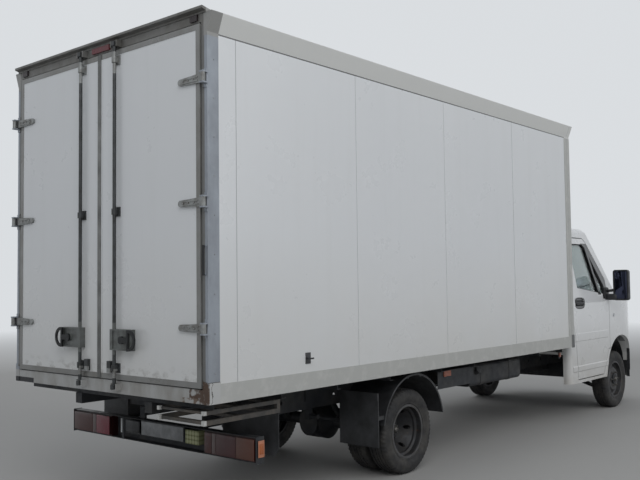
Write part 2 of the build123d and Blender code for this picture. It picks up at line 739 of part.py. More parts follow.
# Front suspension: cross member with lower and upper arms ending in ball joints, and spring units
joint_lower = 210
joint_upper = 475
joint_eye_height = 26
joint_pin = 10
joint_bore = 10.5
arm_root_y = 390
front_spring_y = 565
front_spring_low = 285
front_spring_radius = 46
with BuildPart() as front_suspension:
    with BuildSketch(cross_section(front_axle_station - 75)):
        with BuildLine():
            Polyline(
                (-rail_outer, rail_bottom), (-rail_outer, 470), (-400, 330), (400, 330),
                (rail_outer, 470), (rail_outer, rail_bottom), close=True)
        make_face()
    extrude(amount=150)
    for side in (1, -1):
        for joint_height, root_height, root_reach in ((joint_lower, 350, 110), (joint_upper, 510, 70)):
            arm = Vector(0, side * (kingpin_y - arm_root_y), joint_height - root_height)
            with BuildSketch(Plane(origin=(place(front_axle_station), side * arm_root_y, root_height),
                                   x_dir=(1, 0, 0), z_dir=arm)):
                Rectangle(2 * root_reach, 26)
            with BuildSketch(Plane(origin=(place(front_axle_station), side * kingpin_y, joint_height),
                                   x_dir=(1, 0, 0), z_dir=arm)):
                Rectangle(40, 20)
            loft()
            with Locations((place(front_axle_station), side * kingpin_y, joint_height)):
                Cylinder(30, joint_eye_height)
                Cylinder(joint_bore, joint_eye_height + 60, mode=Mode.SUBTRACT)
        for number in range(5):
            low = front_spring_low + number * 42
            round_bar((front_axle_station, side * front_spring_y, low),
                      (front_axle_station, side * front_spring_y, low + 30),
                      front_spring_radius)
            round_bar((front_axle_station, side * front_spring_y, low + 30),
                      (front_axle_station, side * front_spring_y, low + 42), front_spring_radius - 10)
        block((front_axle_station - 40, front_axle_station + 40),
              (side * (rail_outer - 10), side * (front_spring_y + 30)), (495, 535))
save(front_suspension, "front_suspension")

# Drive line: engine and gearbox, the propeller shaft with its joints and centre bearing, and the exhaust
centre_bearing_station = 4530
shaft_points = ((front_axle_station - 745, 520), (centre_bearing_station, 500), (rear_axle_station + 154, 365))
shaft_radius = 38
exhaust_y = -270
exhaust_height = 560
exhaust_radius = 26
exhaust_rear = 3100
silencer_rear = 4400
silencer_length = 800
with BuildPart() as drive_line:
    for front, rear in zip(shaft_points, shaft_points[1:]):
        round_bar((front[0], 0, front[1]), (rear[0], 0, rear[1]), shaft_radius)
    block((centre_bearing_station - 25, centre_bearing_station + 25), (-60, 60),
          (450, member_roof))
    round_bar((centre_bearing_station - 40, 0, 500), (centre_bearing_station + 40, 0, 500), 62)
    for station, height in ((centre_bearing_station + 95, 501), (centre_bearing_station - 95, 494),
                            (rear_axle_station + 215, 369)):
        round_bar((station, -58, height), (station, 58, height), 24)
    block(ahead(239, 639), (-270, 270), (480, 1010))
    block(ahead(-181, 239), (-150, 150), (575, 725))
    block(ahead(-751, -141), (-130, 130), (430, 725))
    for rear, length, radius in ((silencer_rear, silencer_length, 85),
                                 (exhaust_rear, 3500, exhaust_radius)):
        round_bar((rear, exhaust_y, exhaust_height), (rear + length, exhaust_y, exhaust_height), radius)
    round_bar((exhaust_rear + 20, exhaust_y, exhaust_height),
              (exhaust_rear - 120, exhaust_y - 60, exhaust_height - 60), exhaust_radius)
    for station in (3610, 4510, cab_back + 100):
        block((station, station + 40), (exhaust_y - 15, exhaust_y + 15),
              (exhaust_height, member_roof))
save(drive_line, "drive_line")

# Wheels: a tyre ring and a steel rim for each corner, two of each at the rear
tyre_half = tyre_width / 2
tyre_bulge_radius = 272
rim_half = 72
rim_well = 188
disc_bore = 62
front_disc_y = front_wheel_y + 55


def tyre_section(y):
    """Half section of a tyre about the wheel's axis, centred on y."""
    bead = bead_radius + seat_play
    rim_edge = rim_radius + 2
    with BuildLine() as outline:
        Polyline((y - rim_half, bead), (y + rim_half, bead), (y + rim_half, rim_edge))
        ThreePointArc((y + rim_half, rim_edge), (y + tyre_half, tyre_bulge_radius),
                      (y + tyre_half - 14, tyre_radius - 10))
        Polyline((y + tyre_half - 14, tyre_radius - 10), (y + tyre_half - 22, tyre_radius),
                 (y - tyre_half + 22, tyre_radius), (y - tyre_half + 14, tyre_radius - 10))
        ThreePointArc((y - tyre_half + 14, tyre_radius - 10), (y - tyre_half, tyre_bulge_radius),
                      (y - rim_half, rim_edge))
        Line((y - rim_half, rim_edge), (y - rim_half, bead))
    make_face(outline.edges())


def rim_section(y, disc_y):
    """Half section of a rim centred on y, with its disc at disc_y."""
    flange = rim_half + 8
    with BuildLine() as barrel:
        Polyline(
            (y - flange, rim_radius), (y - flange + 7, rim_radius), (y - flange + 7, bead_radius),
            (y - 30, bead_radius), (y - 18, rim_well), (y + 18, rim_well), (y + 30, bead_radius),
            (y + flange - 7, bead_radius), (y + flange - 7, rim_radius), (y + flange, rim_radius),
            (y + flange, bead_radius - 6), (y + 34, bead_radius - 6), (y + 22, rim_well - 6),
            (y - 22, rim_well - 6), (y - 34, bead_radius - 6), (y - flange, bead_radius - 6), close=True)
    make_face(barrel.edges())
    outward = 1 if disc_y > y else -1
    thick = disc_thickness / 2 * outward
    with BuildLine() as dish:
        Polyline(
            (disc_y + thick, disc_bore), (disc_y - thick, disc_bore), (disc_y - thick, 112),
            (y - 2 * thick, rim_well - 4), (y + 2 * thick, rim_well - 4), (disc_y + thick, 128), close=True)
    make_face(dish.edges())


hand_hole_radius = 17
hand_hole_circle = 155
for side, side_name in ((1, "left"), (-1, "right")):
    for end, station, centres, disc in (
            ("front", front_axle_station, (front_wheel_y,), front_disc_y),
            ("rear", rear_axle_station, (rear_inner_wheel_y, rear_outer_wheel_y), 0)):
        axle = Axis((place(station), 0, tyre_radius), (0, 1, 0))
        with BuildPart() as tyre:
            for centre in centres:
                with BuildSketch(cross_section(station, tyre_radius)):
                    tyre_section(side * centre)
                revolve(axis=axle)
        save(tyre, f"{end}_tyre_{side_name}")
        with BuildPart() as rim:
            for centre in centres:
                if end == "rear":
                    offset_discs = 0.5 if centre == rear_inner_wheel_y else 1.5
                    disc = disc_seat + offset_discs * disc_thickness
                with BuildSketch(cross_section(station, tyre_radius)):
                    rim_section(side * centre, side * disc)
                revolve(axis=axle)
            for angle in range(0, 360, 60):
                with Locations((place(station) + hand_hole_circle * cos(radians(angle)), side * disc,
                                tyre_radius + hand_hole_circle * sin(radians(angle)))):
                    Cylinder(hand_hole_radius, 500, rotation=(90, 0, 0), mode=Mode.SUBTRACT)
        save(rim, f"{end}_rim_{side_name}")

# Steering knuckles with hubs and brake discs
hub_face = front_disc_y - disc_thickness / 2 - seat_play
joint_play = 8
for side, side_name in ((1, "left"), (-1, "right")):
    axle = Axis((place(front_axle_station), 0, tyre_radius), (0, 1, 0))
    with BuildPart() as knuckle:
        block((front_axle_station - 30, front_axle_station + 30), (side * 715, side * 765),
              (joint_lower + joint_eye_height + joint_play, joint_upper - joint_eye_height - joint_play))
        with Locations((place(front_axle_station), side * kingpin_y, (joint_lower + joint_upper) / 2)):
            Cylinder(joint_pin, joint_upper - joint_lower + joint_eye_height)
        with BuildSketch(cross_section(front_axle_station, tyre_radius)):
            with BuildLine():
                Polyline(
                    (side * 760, 0), (side * 760, 55), (side * 800, 55), (side * 800, 140),
                    (side * 820, 140), (side * 820, 60), (side * 890, 60), (side * 890, hub_flange_radius),
                    (side * hub_face, hub_flange_radius), (side * hub_face, pilot_radius),
                    (side * (hub_face + 26), pilot_radius), (side * (hub_face + 26), 0), close=True)
            make_face()
        revolve(axis=axle)
    save(knuckle, f"knuckle_{side_name}")

# Cab: outer and inner forms from which the panels are cut. Points of the cab are given as a
# distance ahead of the front axle and a height
screen_top = (-471, roof_height - 55)
screen_bottom = (199, belt_height + 30)
screen_bow = 152
screen_bow_at = 950
nose_start = 119
nose_break = (763, 734)
nose_top = (279, belt_height + 30)
nose_crown = (619, belt_height - 38)
nose_brow = (899, belt_height - 210)
nose_face = (989, 860)
firewall = 149
roof_shoulder = roof_height - 58
cab_back_corner = 60
cab_far = 1200
cab_low = 200
cab_high = 1400
(firewall_station, screen_top_station, screen_bottom_station, nose_start_station) = ahead(
    firewall, screen_top[0], screen_bottom[0], nose_start)


def shifted(points):
    """Points of the cab turned into stations and heights."""
    return [(front_axle_station + distance, height) for distance, height in points]


def greenhouse(inset):
    """Cab above the belt, with every face moved inwards by inset."""
    run = (screen_bottom[0] - screen_top[0], screen_bottom[1] - screen_top[1])
    length = hypot(*run)
    rear = cab_back + inset
    front = ahead(369)[0]
    top = roof_height - inset
    with BuildPart() as form:
        with BuildSketch(side_view(y=cab_far)):
            with BuildLine():
                Polyline((front, belt_height), (rear, belt_height), (rear, roof_height - 90))
                ThreePointArc((rear, roof_height - 90), (rear + 30, top - 24), (rear + 100, top))
                Polyline((rear + 100, top), (front, top), (front, belt_height))
            make_face()
        extrude(amount=2 * cab_far)
        low_half = cab_half_width - inset
        shoulder_half = roof_half_width - inset
        with BuildSketch(cross_section(cab_back - 300)):
            with BuildLine():
                Polyline((-shoulder_half, roof_shoulder), (-low_half, belt_height),
                         (low_half, belt_height), (shoulder_half, roof_shoulder))
                ThreePointArc((shoulder_half, roof_shoulder), (shoulder_half - 35, top - 22),
                              (shoulder_half - 130, top + 5))
                Line((shoulder_half - 130, top + 5), (130 - shoulder_half, top + 5))
                ThreePointArc((130 - shoulder_half, top + 5), (35 - shoulder_half, top - 22),
                              (-shoulder_half, roof_shoulder))
            make_face()
        extrude(amount=3000, mode=Mode.INTERSECT)
        slant = Plane(origin=(place(screen_top_station), 0, screen_top[1]), x_dir=(0, 1, 0),
                      z_dir=(run[0] / length, 0, run[1] / length))
        with BuildSketch(slant):
            with BuildLine():
                ThreePointArc((screen_bow_at, -screen_bow - inset), (0, -inset),
                              (-screen_bow_at, -screen_bow - inset))
                Polyline((-screen_bow_at, -screen_bow - inset), (-1300, -350 - inset),
                         (-1300, -2500), (1300, -2500), (1300, -350 - inset),
                         (screen_bow_at, -screen_bow - inset))
            make_face()
        extrude(amount=2500, both=True, mode=Mode.INTERSECT)
    return form.part


def lower_body(inset):
    """Cab and nose below the belt, with every face moved inwards by inset."""
    rear = cab_back + inset
    half = cab_half_width - inset
    top, crown, brow, face, chin, toe, sole, step_front = shifted((
        (nose_top[0], nose_top[1] - inset), (nose_crown[0], nose_crown[1] - inset),
        (nose_brow[0] - inset, nose_brow[1] - inset), (nose_face[0] - inset, nose_face[1]),
        (front_overhang - inset, 600), (front_overhang - inset - 10, 380),
        (919 - inset, 290 + inset / 4), (399, 290 + inset / 4)))
    with BuildPart() as form:
        with BuildSketch(side_view(y=cab_far)):
            with BuildLine():
                Polyline((rear, cab_bottom), (rear, belt_height), (screen_bottom_station, belt_height), top)
                ThreePointArc(top, crown, brow)
                Polyline(brow, face, chin, toe, sole, step_front, (step_front[0], cab_bottom),
                         (rear, cab_bottom))
            make_face()
        extrude(amount=2 * cab_far)
        with BuildSketch(Plane.XY.offset(cab_low)):
            corner_start = place(rear + cab_back_corner)
            corner_middle = place(rear + 0.3 * cab_back_corner)
            with BuildLine():
                Line((place(nose_start_station), half), (corner_start, half))
                ThreePointArc((corner_start, half), (corner_middle, half - 0.3 * cab_back_corner),
                              (place(rear), half - cab_back_corner))
                Line((place(rear), half - cab_back_corner), (place(rear), cab_back_corner - half))
                ThreePointArc((place(rear), cab_back_corner - half),
                              (corner_middle, 0.3 * cab_back_corner - half), (corner_start, -half))
                Line((corner_start, -half), (place(nose_start_station), -half))
                nose = (place(front_axle_station + nose_break[0] - 0.64 * inset), nose_break[1] - 0.77 * inset)
                TangentArc((place(nose_start_station), -half), (nose[0], -nose[1]), tangent=(1, 0))
                TangentArc((place(nose_start_station), half), nose, tangent=(1, 0))
                ThreePointArc((nose[0], -nose[1]), (place(front_end - inset), 0), nose)
            make_face()
        extrude(amount=1400, mode=Mode.INTERSECT)
    return form.part


cab_outer = greenhouse(0) + lower_body(0)
cab_cavity = greenhouse(60) + lower_body(90)

# Outlines of the cab's openings, seen from the side
hinge_edge = cab_hinge_ahead + 20
door_outline = shifted((
    (-1271, 462), (-1303, 800), (-1381, belt_height - 140), (-1403, belt_height + 180),
    (-1403, roof_height - 205), (-1361, roof_height - 125), (-781, roof_height - 125),
    (-711, roof_height - 165), (hinge_edge, belt_height + 260), (hinge_edge, 748),
    (cab_hinge_ahead - 20, 748), (-556, 462)))
inner_opening = shifted((
    (-1236, 800), (-1341, belt_height - 120), (-1361, belt_height + 180), (-1361, roof_height - 175),
    (-791, roof_height - 175), (-401, belt_height + 240), (-401, 800)))
window_outline = shifted((
    (-1181, belt_height + 170), (-1191, roof_height - 235), (-1141, roof_height - 190),
    (-821, roof_height - 190), (-761, roof_height - 225), (-421, belt_height + 200),
    (-391, belt_height + 85)))
window_bar = shifted((
    (-771, roof_height - 175), (-726, roof_height - 175), (-546, belt_height + 80), (-591, belt_height + 80)))
fender_front, support_station = ahead(779, 659)
front_beyond = front_end + 89
nose_split = 640
skin_thickness = 30
bumper_top = 690
nose_gap = 6
bonnet_rear_station, bonnet_hinge_station = ahead(269, 273)

# Front wheel arch, its outline given about a point above the front axle
arch_rise = 450
arch_datum = 435
arch_inner = 520
arch_flare = 14
arch_flare_proud = 6
liner_thickness = 5
liner_bottom = 540
arch_ends = ahead(-781, 719)


def outline_cut(points, y_range, grow=0):
    """Prism of a side outline between two Y values."""
    low, high = sorted(y_range)
    with BuildPart() as prism:
        with BuildSketch(side_view(y=high)):
            with BuildLine():
                Polyline(*points, close=True)
            make_face()
            if grow:
                offset(amount=grow, kind=Kind.INTERSECTION)
        extrude(amount=high - low)
    return prism.part


def region(x, y, z):
    """Box between stations, Y values and Z values, as a tool for cutting panels."""
    with BuildPart() as tool:
        block(x, y, z)
    return tool.part


def arch_outline(grow=0):
    """Outline of the front wheel arch, grown outwards, added to the sketch."""
    with BuildLine() as outline:
        Line((-560 - grow, -250), (-400 - grow, 206))
        ThreePointArc((-400 - grow, 206), (0, arch_rise + grow), (400 + grow, 206))
        Polyline((400 + grow, 206), (455 + grow, -20), (455 + grow, -250), (-560 - grow, -250))
    make_face(outline.edges())


with BuildPart() as wheel_arch:
    with BuildSketch(side_view(front_axle_station, cab_far, arch_datum)):
        arch_outline()
    extrude(amount=2 * cab_far)
between_arches = region(arch_ends, (-arch_inner, arch_inner), (0, 1000))
arches = wheel_arch.part - between_arches


def screen_prism(depth, shrink=0):
    """Prism through the windscreen's opening, along the screen's normal."""
    drop = screen_top[1] - screen_bottom[1]
    reach = screen_bottom[0] - screen_top[0]
    length = hypot(drop, reach)
    with BuildPart() as prism:
        with BuildSketch(Plane(origin=(place(screen_top_station), 0, screen_top[1]), x_dir=(0, 1, 0),
                               z_dir=(drop, 0, reach))):
            with BuildLine():
                top, bottom = -60 - shrink, 63 - length + shrink
                top_half, bottom_half = 775 - shrink, 900 - shrink
                Polyline((-bottom_half, bottom), (bottom_half, bottom), (top_half, top),
                         (-top_half, top), close=True)
            make_face()
        extrude(amount=depth, both=True)
    return prism.part


# Structure of the nose: wheel liners, aprons with a top flange, and the front support with the radiator
nose_skin = lower_body(0) - lower_body(skin_thickness)
nose_space = lower_body(skin_thickness + seat_play)
apron_y = 600
radiator_half = 330
radiator_top = 1000
with BuildPart() as nose_frame:
    for side in (1, -1):
        block((firewall_station, support_station), (side * apron_y, side * (apron_y + 20)),
              (560, belt_height - 120))
        block((firewall_station, support_station), (side * apron_y, side * cab_half_width),
              (belt_height - 120, belt_height - 110))
    with BuildSketch(cross_section(support_station - 20)):
        with Locations((0, (rail_top + belt_height) / 2)):
            Rectangle(1800, belt_height - rail_top)
        with Locations((0, (rail_top + radiator_top) / 2)):
            Rectangle(2 * radiator_half, radiator_top - rail_top, mode=Mode.SUBTRACT)
    extrude(amount=20)
    block((support_station - 20, support_station + 20), (-radiator_half, radiator_half), (rail_top, radiator_top))
    add(nose_space, mode=Mode.INTERSECT)
    add(arches, mode=Mode.SUBTRACT)
with BuildPart() as liners:
    with BuildSketch(side_view(front_axle_station, cab_far, arch_datum)):
        arch_outline()
        offset(amount=-liner_thickness, mode=Mode.SUBTRACT)
    extrude(amount=2 * cab_far)
    add(between_arches, mode=Mode.SUBTRACT)
    for left_face in (arch_inner + liner_thickness, -arch_inner):
        with BuildSketch(side_view(front_axle_station, left_face, arch_datum)):
            arch_outline()
        extrude(amount=liner_thickness)
    add(nose_space & region(arch_ends, (-cab_far, cab_far), (liner_bottom, 1000)), mode=Mode.INTERSECT)

# Hinges: a barrel on a lug of the shell, and a pin in a pocket of the door or a notch of the bonnet
cab_hinge_station = front_axle_station + cab_hinge_ahead
cab_hinge_heights = (825, belt_height - 110)
cab_lug_half = 17
barrel_radius = 7
barrel_bore = 4.3
hinge_pin_radius = 4
pocket_half = 30
pocket_outer = cab_half_width - 4.5
bonnet_lugs = (562, 598)
bonnet_notch = (556, 604)
bonnet_hinge_height = belt_height + 26

# Flare round the wheel arch, and raised bands along the cab's side
side_bands = ((552, 600, 7), (884, 960, 4))  # low edge, high edge, proud of the side
with BuildPart() as flare_ring:
    with BuildSketch(side_view(front_axle_station, cab_far, arch_datum)):
        arch_outline(arch_flare)
    extrude(amount=2 * cab_far)
arch_flares = ((lower_body(-arch_flare_proud) - lower_body(skin_thickness)) & flare_ring.part) - wheel_arch.part


def side_band(side, low, high, proud):
    """Raised band along one side of the cab."""
    with BuildPart() as band:
        with BuildSketch(cross_section(cab_back + cab_back_corner)):
            with BuildLine():
                root = side * (cab_half_width - 3)
                crest = side * (cab_half_width + proud)
                Polyline((root, low - 14), (crest, low), (crest, high), (root, high + 14), close=True)
            make_face()
        extrude(amount=cab_hinge_station - 40 - cab_back - cab_back_corner)
    return band.part


# Cab shell: floor, back wall, roof, pillars, sills and fire wall
cowl_front = bonnet_rear_station - nose_gap
cowl = nose_skin & region((screen_bottom_station - 22, cowl_front), (nose_gap - nose_split, nose_split - nose_gap),
                          (belt_height - 100, belt_height + 40))
door_band = cab_outer - (greenhouse(cab_door_thickness) + lower_body(cab_door_thickness))
jamb_depth = cab_door_thickness + 11
aperture_core = greenhouse(jamb_depth) + lower_body(jamb_depth)
striker_face = cab_half_width - cab_door_thickness - seat_play
shell_front = front_axle_station - 333
with BuildPart() as cab_fittings:
    block((cab_back + 20, firewall_station), (-960, 960), (floor_height, floor_height + 35))
    block((firewall_station, firewall_station + 30), (-940, 940), (floor_height, belt_height))
    block((firewall_station, cowl_front), (nose_gap - nose_split, nose_split - nose_gap),
          (belt_height - 24, belt_height))
    for side in (1, -1):
        block((ahead(-381)[0], firewall_station + 30), (side * 900, side * 940), (floor_height, belt_height))
        block((cab_back + 136, cab_back + 170), (side * 945, side * striker_face), (980, 1040))
        for station in (cab_back + 150, *ahead(-681, -181)):
            with Locations((place(station), side * (rail_outer - 40), (rail_top + floor_height) / 2)):
                Cylinder(40, floor_height - rail_top)
with BuildPart() as cab_shell:
    add(cab_outer)
    for side in (1, -1):
        add(outline_cut(door_outline, (side * 700, side * cab_far), cab_door_gap) - aperture_core,
            mode=Mode.SUBTRACT)
    add(cab_cavity, mode=Mode.SUBTRACT)
    for side in (1, -1):
        add(outline_cut(inner_opening, (side * 600, side * cab_far)), mode=Mode.SUBTRACT)
        add(region((shell_front, front_beyond), (side * nose_split, side * cab_far), (cab_low, belt_height - 4)),
            mode=Mode.SUBTRACT)
    add(screen_prism(240), mode=Mode.SUBTRACT)
    add(region((firewall_station + 30, front_beyond), (-cab_far, cab_far), (cab_low, belt_height + 40)),
        mode=Mode.SUBTRACT)
    add(region((cab_back - 10, front_beyond), (-944, 944), (cab_low, floor_height)), mode=Mode.SUBTRACT)
    add(cab_fittings.part)
    for side in (1, -1):
        around_door = outline_cut(door_outline, (side * 700, side * cab_far), cab_door_gap)
        for low, high, proud in side_bands:
            add(side_band(side, low, high, proud) - around_door)
        add((arch_flares & region((cab_back, shell_front), (side * 700, side * cab_far), (0, cab_high)))
            - around_door)
    add(arches, mode=Mode.SUBTRACT)
    add(liners.part)
    add(nose_frame.part)
    add(cowl)
    for side in (1, -1):
        for height in cab_hinge_heights:
            axis_point = (cab_hinge_station, side * cab_hinge_y)
            block((cab_hinge_station - 5, cab_hinge_station + 5), (side * 930, side * (cab_hinge_y - 3)),
                  (height - cab_lug_half, height + cab_lug_half))
            round_bar((*axis_point, height - cab_lug_half), (*axis_point, height + cab_lug_half), barrel_radius)
            round_bar((*axis_point, height - cab_lug_half), (*axis_point, height + cab_lug_half), barrel_bore,
                      Mode.SUBTRACT)
        lug = (side * bonnet_lugs[0], side * bonnet_lugs[1])
        block((cowl_front - 14, bonnet_hinge_station), lug, (belt_height - 10, bonnet_hinge_height))
        for radius, mode in ((barrel_radius, Mode.ADD), (barrel_bore, Mode.SUBTRACT)):
            round_bar((bonnet_hinge_station, lug[0], bonnet_hinge_height),
                      (bonnet_hinge_station, lug[1], bonnet_hinge_height), radius, mode)
save(cab_shell, "cab_shell")

# Panels of the nose: fenders, bumper, front panel with grille, headlamps and bonnet
headlamp_outline = ((455, 790), (560, 762), (720, 760), (905, 800), (905, 985), (640, 968), (455, 948))
grille_half = 420
grille_lows = (738, 792, 846, 900)
grille_slat_height = 34
repeater_station = front_axle_station - 204
repeater_height = 1135
repeater_radius = 20


def headlamp_tool(side, rear, grow=0):
    """Prism of a headlamp seen from ahead."""
    with BuildPart() as tool:
        with BuildSketch(cross_section(rear)):
            with BuildLine():
                Polyline(*[(side * y, height) for y, height in headlamp_outline], close=True)
            make_face()
            if grow:
                offset(amount=grow, kind=Kind.INTERSECTION)
        extrude(amount=front_beyond - rear)
    return tool.part


grown_headlamps = [headlamp_tool(side, support_station - 150, nose_gap) for side in (1, -1)]
with BuildPart() as fenders:
    add(nose_skin)
    add(region((shell_front, fender_front), (-cab_far, cab_far), (bumper_top + nose_gap, cab_high)),
        mode=Mode.INTERSECT)
    add(region((cab_back, front_beyond), (-nose_split, nose_split), (0, cab_high)), mode=Mode.SUBTRACT)
    add(region((cab_back, front_axle_station + 194), (-cab_far, cab_far), (belt_height - 4, cab_high)),
        mode=Mode.SUBTRACT)
    add(wheel_arch.part, mode=Mode.SUBTRACT)
    for side in (1, -1):
        add(arch_flares & region((shell_front, fender_front), (side * 700, side * cab_far),
                                 (bumper_top + nose_gap, cab_high)))
        round_bar((repeater_station, side * 900, repeater_height), (repeater_station, side * cab_far, repeater_height),
                  repeater_radius + seat_play, Mode.SUBTRACT)
    for tool in grown_headlamps:
        add(tool, mode=Mode.SUBTRACT)
save(fenders, "front_fenders")

bumper_rear = front_axle_station + 369
foglamp_y = 610
foglamp_height = 480
with BuildPart() as bumper:
    add(nose_skin)
    add(region((bumper_rear, front_beyond), (-cab_far, cab_far), (cab_low, bumper_top)), mode=Mode.INTERSECT)
    add(wheel_arch.part, mode=Mode.SUBTRACT)
    add(region((bumper_rear, front_end - 111), (-1000, 1000), (cab_low, 330)), mode=Mode.SUBTRACT)
    for side in (1, -1):
        add(arch_flares & region((bumper_rear, front_beyond), (side * 700, side * cab_far),
                                 (arch_datum - 20, bumper_top)))
        block((frame_front, front_end - 27), (side * 380, side * 450), (560, 640))
        round_bar((front_end - 170, side * foglamp_y, foglamp_height),
                  (front_beyond, side * foglamp_y, foglamp_height), 52, Mode.SUBTRACT)
    for low in (440, 500):
        block((front_end - 100, front_beyond), (-420, 420), (low, low + 38), Mode.SUBTRACT)
save(bumper, "front_bumper")

front_panel_top = 1010
with BuildPart() as front_panel:
    add(nose_skin)
    add(region((support_station - 140, front_beyond), (-cab_far, cab_far),
               (bumper_top + nose_gap, front_panel_top)), mode=Mode.INTERSECT)
    for side in (1, -1):
        add(region((support_station - 440, fender_front + nose_gap), (side * nose_split, side * cab_far),
                   (0, cab_high)), mode=Mode.SUBTRACT)
    for tool in grown_headlamps:
        add(tool, mode=Mode.SUBTRACT)
    for low in grille_lows:
        add(region((fender_front - 60, front_beyond), (-grille_half, grille_half),
                   (low, low + grille_slat_height)), mode=Mode.SUBTRACT)
    for side in (1, -1):
        add(lower_body(10) & region((support_station, front_beyond), (side * 395, side * 425), (rail_top, 735)))
save(front_panel, "front_panel")

# Lamps: headlamps, tail lamps in the lamp bar, header lamps, side markers and side repeaters
with BuildPart() as lamps:
    for side in (1, -1):
        add(lower_body(3) & headlamp_tool(side, support_station))
    for side, inner, outer in ((1, 537, 1030), (-1, 529, 1030)):
        block((lamp_bar_rear + 4, lamp_bar_front - lamp_bar_sheet), (side * inner, side * outer),
              (lamp_bar_bottom + 4, lamp_bar_top - 4))
        block((lamp_bar_rear - 6, lamp_bar_rear + 4), (side * (inner + 8), side * (outer - 8)),
              (lamp_bar_bottom + 12, lamp_bar_top - 12))
    for side in (1, -1):
        block((post_setback - 12, post_setback), (side * 955, side * 1020), (header_bottom + 11, header_bottom + 51))
        for rear, front, low in ((2790, 2900, 742), (box_length - 145, box_length - 110, 735)):
            block((rear, front), (side * side_panel_face, side * (side_panel_face + 10)), (low, low + 46))
        block((lamp_bar_rear + 15, lamp_bar_front - 15), (side * lamp_bar_reach, side * (lamp_bar_reach + 6)),
              (lamp_bar_bottom + 55, lamp_bar_top - 40))
        round_bar((repeater_station, side * (cab_half_width - skin_thickness), repeater_height),
                  (repeater_station, side * (cab_half_width + 8), repeater_height), repeater_radius)
    for inner, outer in ((177, 348), (-468, -331)):
        block((lamp_bar_rear, lamp_bar_front - lamp_bar_sheet), (inner, outer),
              (lamp_bar_bottom + lamp_bar_sheet + 46, lamp_bar_top - 20))
    block((post_setback - 16, post_setback), (-110, 90), (header_bottom + 11, header_bottom + 47))
save(lamps, "lamps")

with BuildPart() as bonnet:
    add(nose_skin)
    add(region((bonnet_rear_station, front_beyond), (nose_gap - nose_split, nose_split - nose_gap),
               (front_panel_top + nose_gap, cab_high)), mode=Mode.INTERSECT)
    for side in (1, -1):
        block((bonnet_rear_station - 5, bonnet_rear_station + 20), (side * bonnet_notch[0], side * bonnet_notch[1]),
              (belt_height - 60, belt_height + 40), Mode.SUBTRACT)
        round_bar((bonnet_hinge_station, side * (bonnet_notch[0] - 8), bonnet_hinge_height),
                  (bonnet_hinge_station, side * (bonnet_notch[1] + 8), bonnet_hinge_height), hinge_pin_radius)
save(bonnet, "bonnet")

# Glass: the windscreen in its opening
screen_inset = 14
glass_thickness = 6
glass_gap = 0.3
with BuildPart() as windscreen:
    add(greenhouse(screen_inset) - greenhouse(screen_inset + glass_thickness))
    add(screen_prism(240, glass_gap), mode=Mode.INTERSECT)
save(windscreen, "windscreen")

# Cab doors with their glass, handle recesses and ledges, and the mirrors
door_glass_inset = 18
handle_at = (-1186, belt_height)
handle_half_length = 125
handle_half_height = 34
handle_depth = 14
mirror_inner = 1120
mirror_outer = 1300
mirror_low = 1315
mirror_high = 1675
mirror_rear, mirror_front = ahead(-421, -341)
for side, side_name in ((1, "left"), (-1, "right")):
    outside = (side * 600, side * 1300)
    with BuildPart() as cab_door:
        add(outline_cut(door_outline, outside) & door_band)
        add(outline_cut(window_outline, outside) - outline_cut(window_bar, outside), mode=Mode.SUBTRACT)
        with Locations((place(front_axle_station + handle_at[0]), side * cab_half_width, handle_at[1])):
            with Locations((0, -side * handle_depth / 2, 0)):
                Box(2 * handle_half_length, handle_depth, 2 * handle_half_height, mode=Mode.SUBTRACT)
        block((front_axle_station + handle_at[0] - 95, front_axle_station + handle_at[0] + 95),
              (side * (cab_half_width - handle_depth - 2), side * (cab_half_width + 3)),
              (handle_at[1] - 12, handle_at[1] + 12))
        for low, high, proud in side_bands:
            add(side_band(side, low, high, proud) & outline_cut(door_outline, outside))
        for height in cab_hinge_heights:
            block((cab_hinge_station - 18, cab_hinge_station + 26), (side * 970, side * pocket_outer),
                  (height - pocket_half, height + pocket_half), Mode.SUBTRACT)
            round_bar((cab_hinge_station, side * cab_hinge_y, height - pocket_half - 5),
                      (cab_hinge_station, side * cab_hinge_y, height + pocket_half + 5), hinge_pin_radius)
    save(cab_door, f"cab_door_{side_name}")

    with BuildPart() as door_glass:
        add(greenhouse(door_glass_inset) - greenhouse(door_glass_inset + glass_thickness))
        add(outline_cut(window_outline, outside, -glass_gap) - outline_cut(window_bar, outside, glass_gap),
            mode=Mode.INTERSECT)
    save(door_glass, f"door_glass_{side_name}")

    with BuildPart() as mirror:
        block((mirror_rear, mirror_front), (side * mirror_inner, side * mirror_outer), (mirror_low, mirror_high))
        fillet(mirror.edges().filter_by(Axis.X), 30)
        fillet(mirror.faces().sort_by(Axis.X)[-1].edges(), 24)
        block((mirror_rear, mirror_rear + 8), (side * (mirror_inner + 16), side * (mirror_outer - 16)),
              (mirror_low + 16, mirror_high - 16), Mode.SUBTRACT)
        for height in (1345, 1420):
            round_bar((mirror_rear + 35, side * 1000, height),
                      (mirror_rear + 35, side * (mirror_inner + 20), height + 20), 14)
        add(greenhouse(0), mode=Mode.SUBTRACT)
    save(mirror, f"mirror_{side_name}")

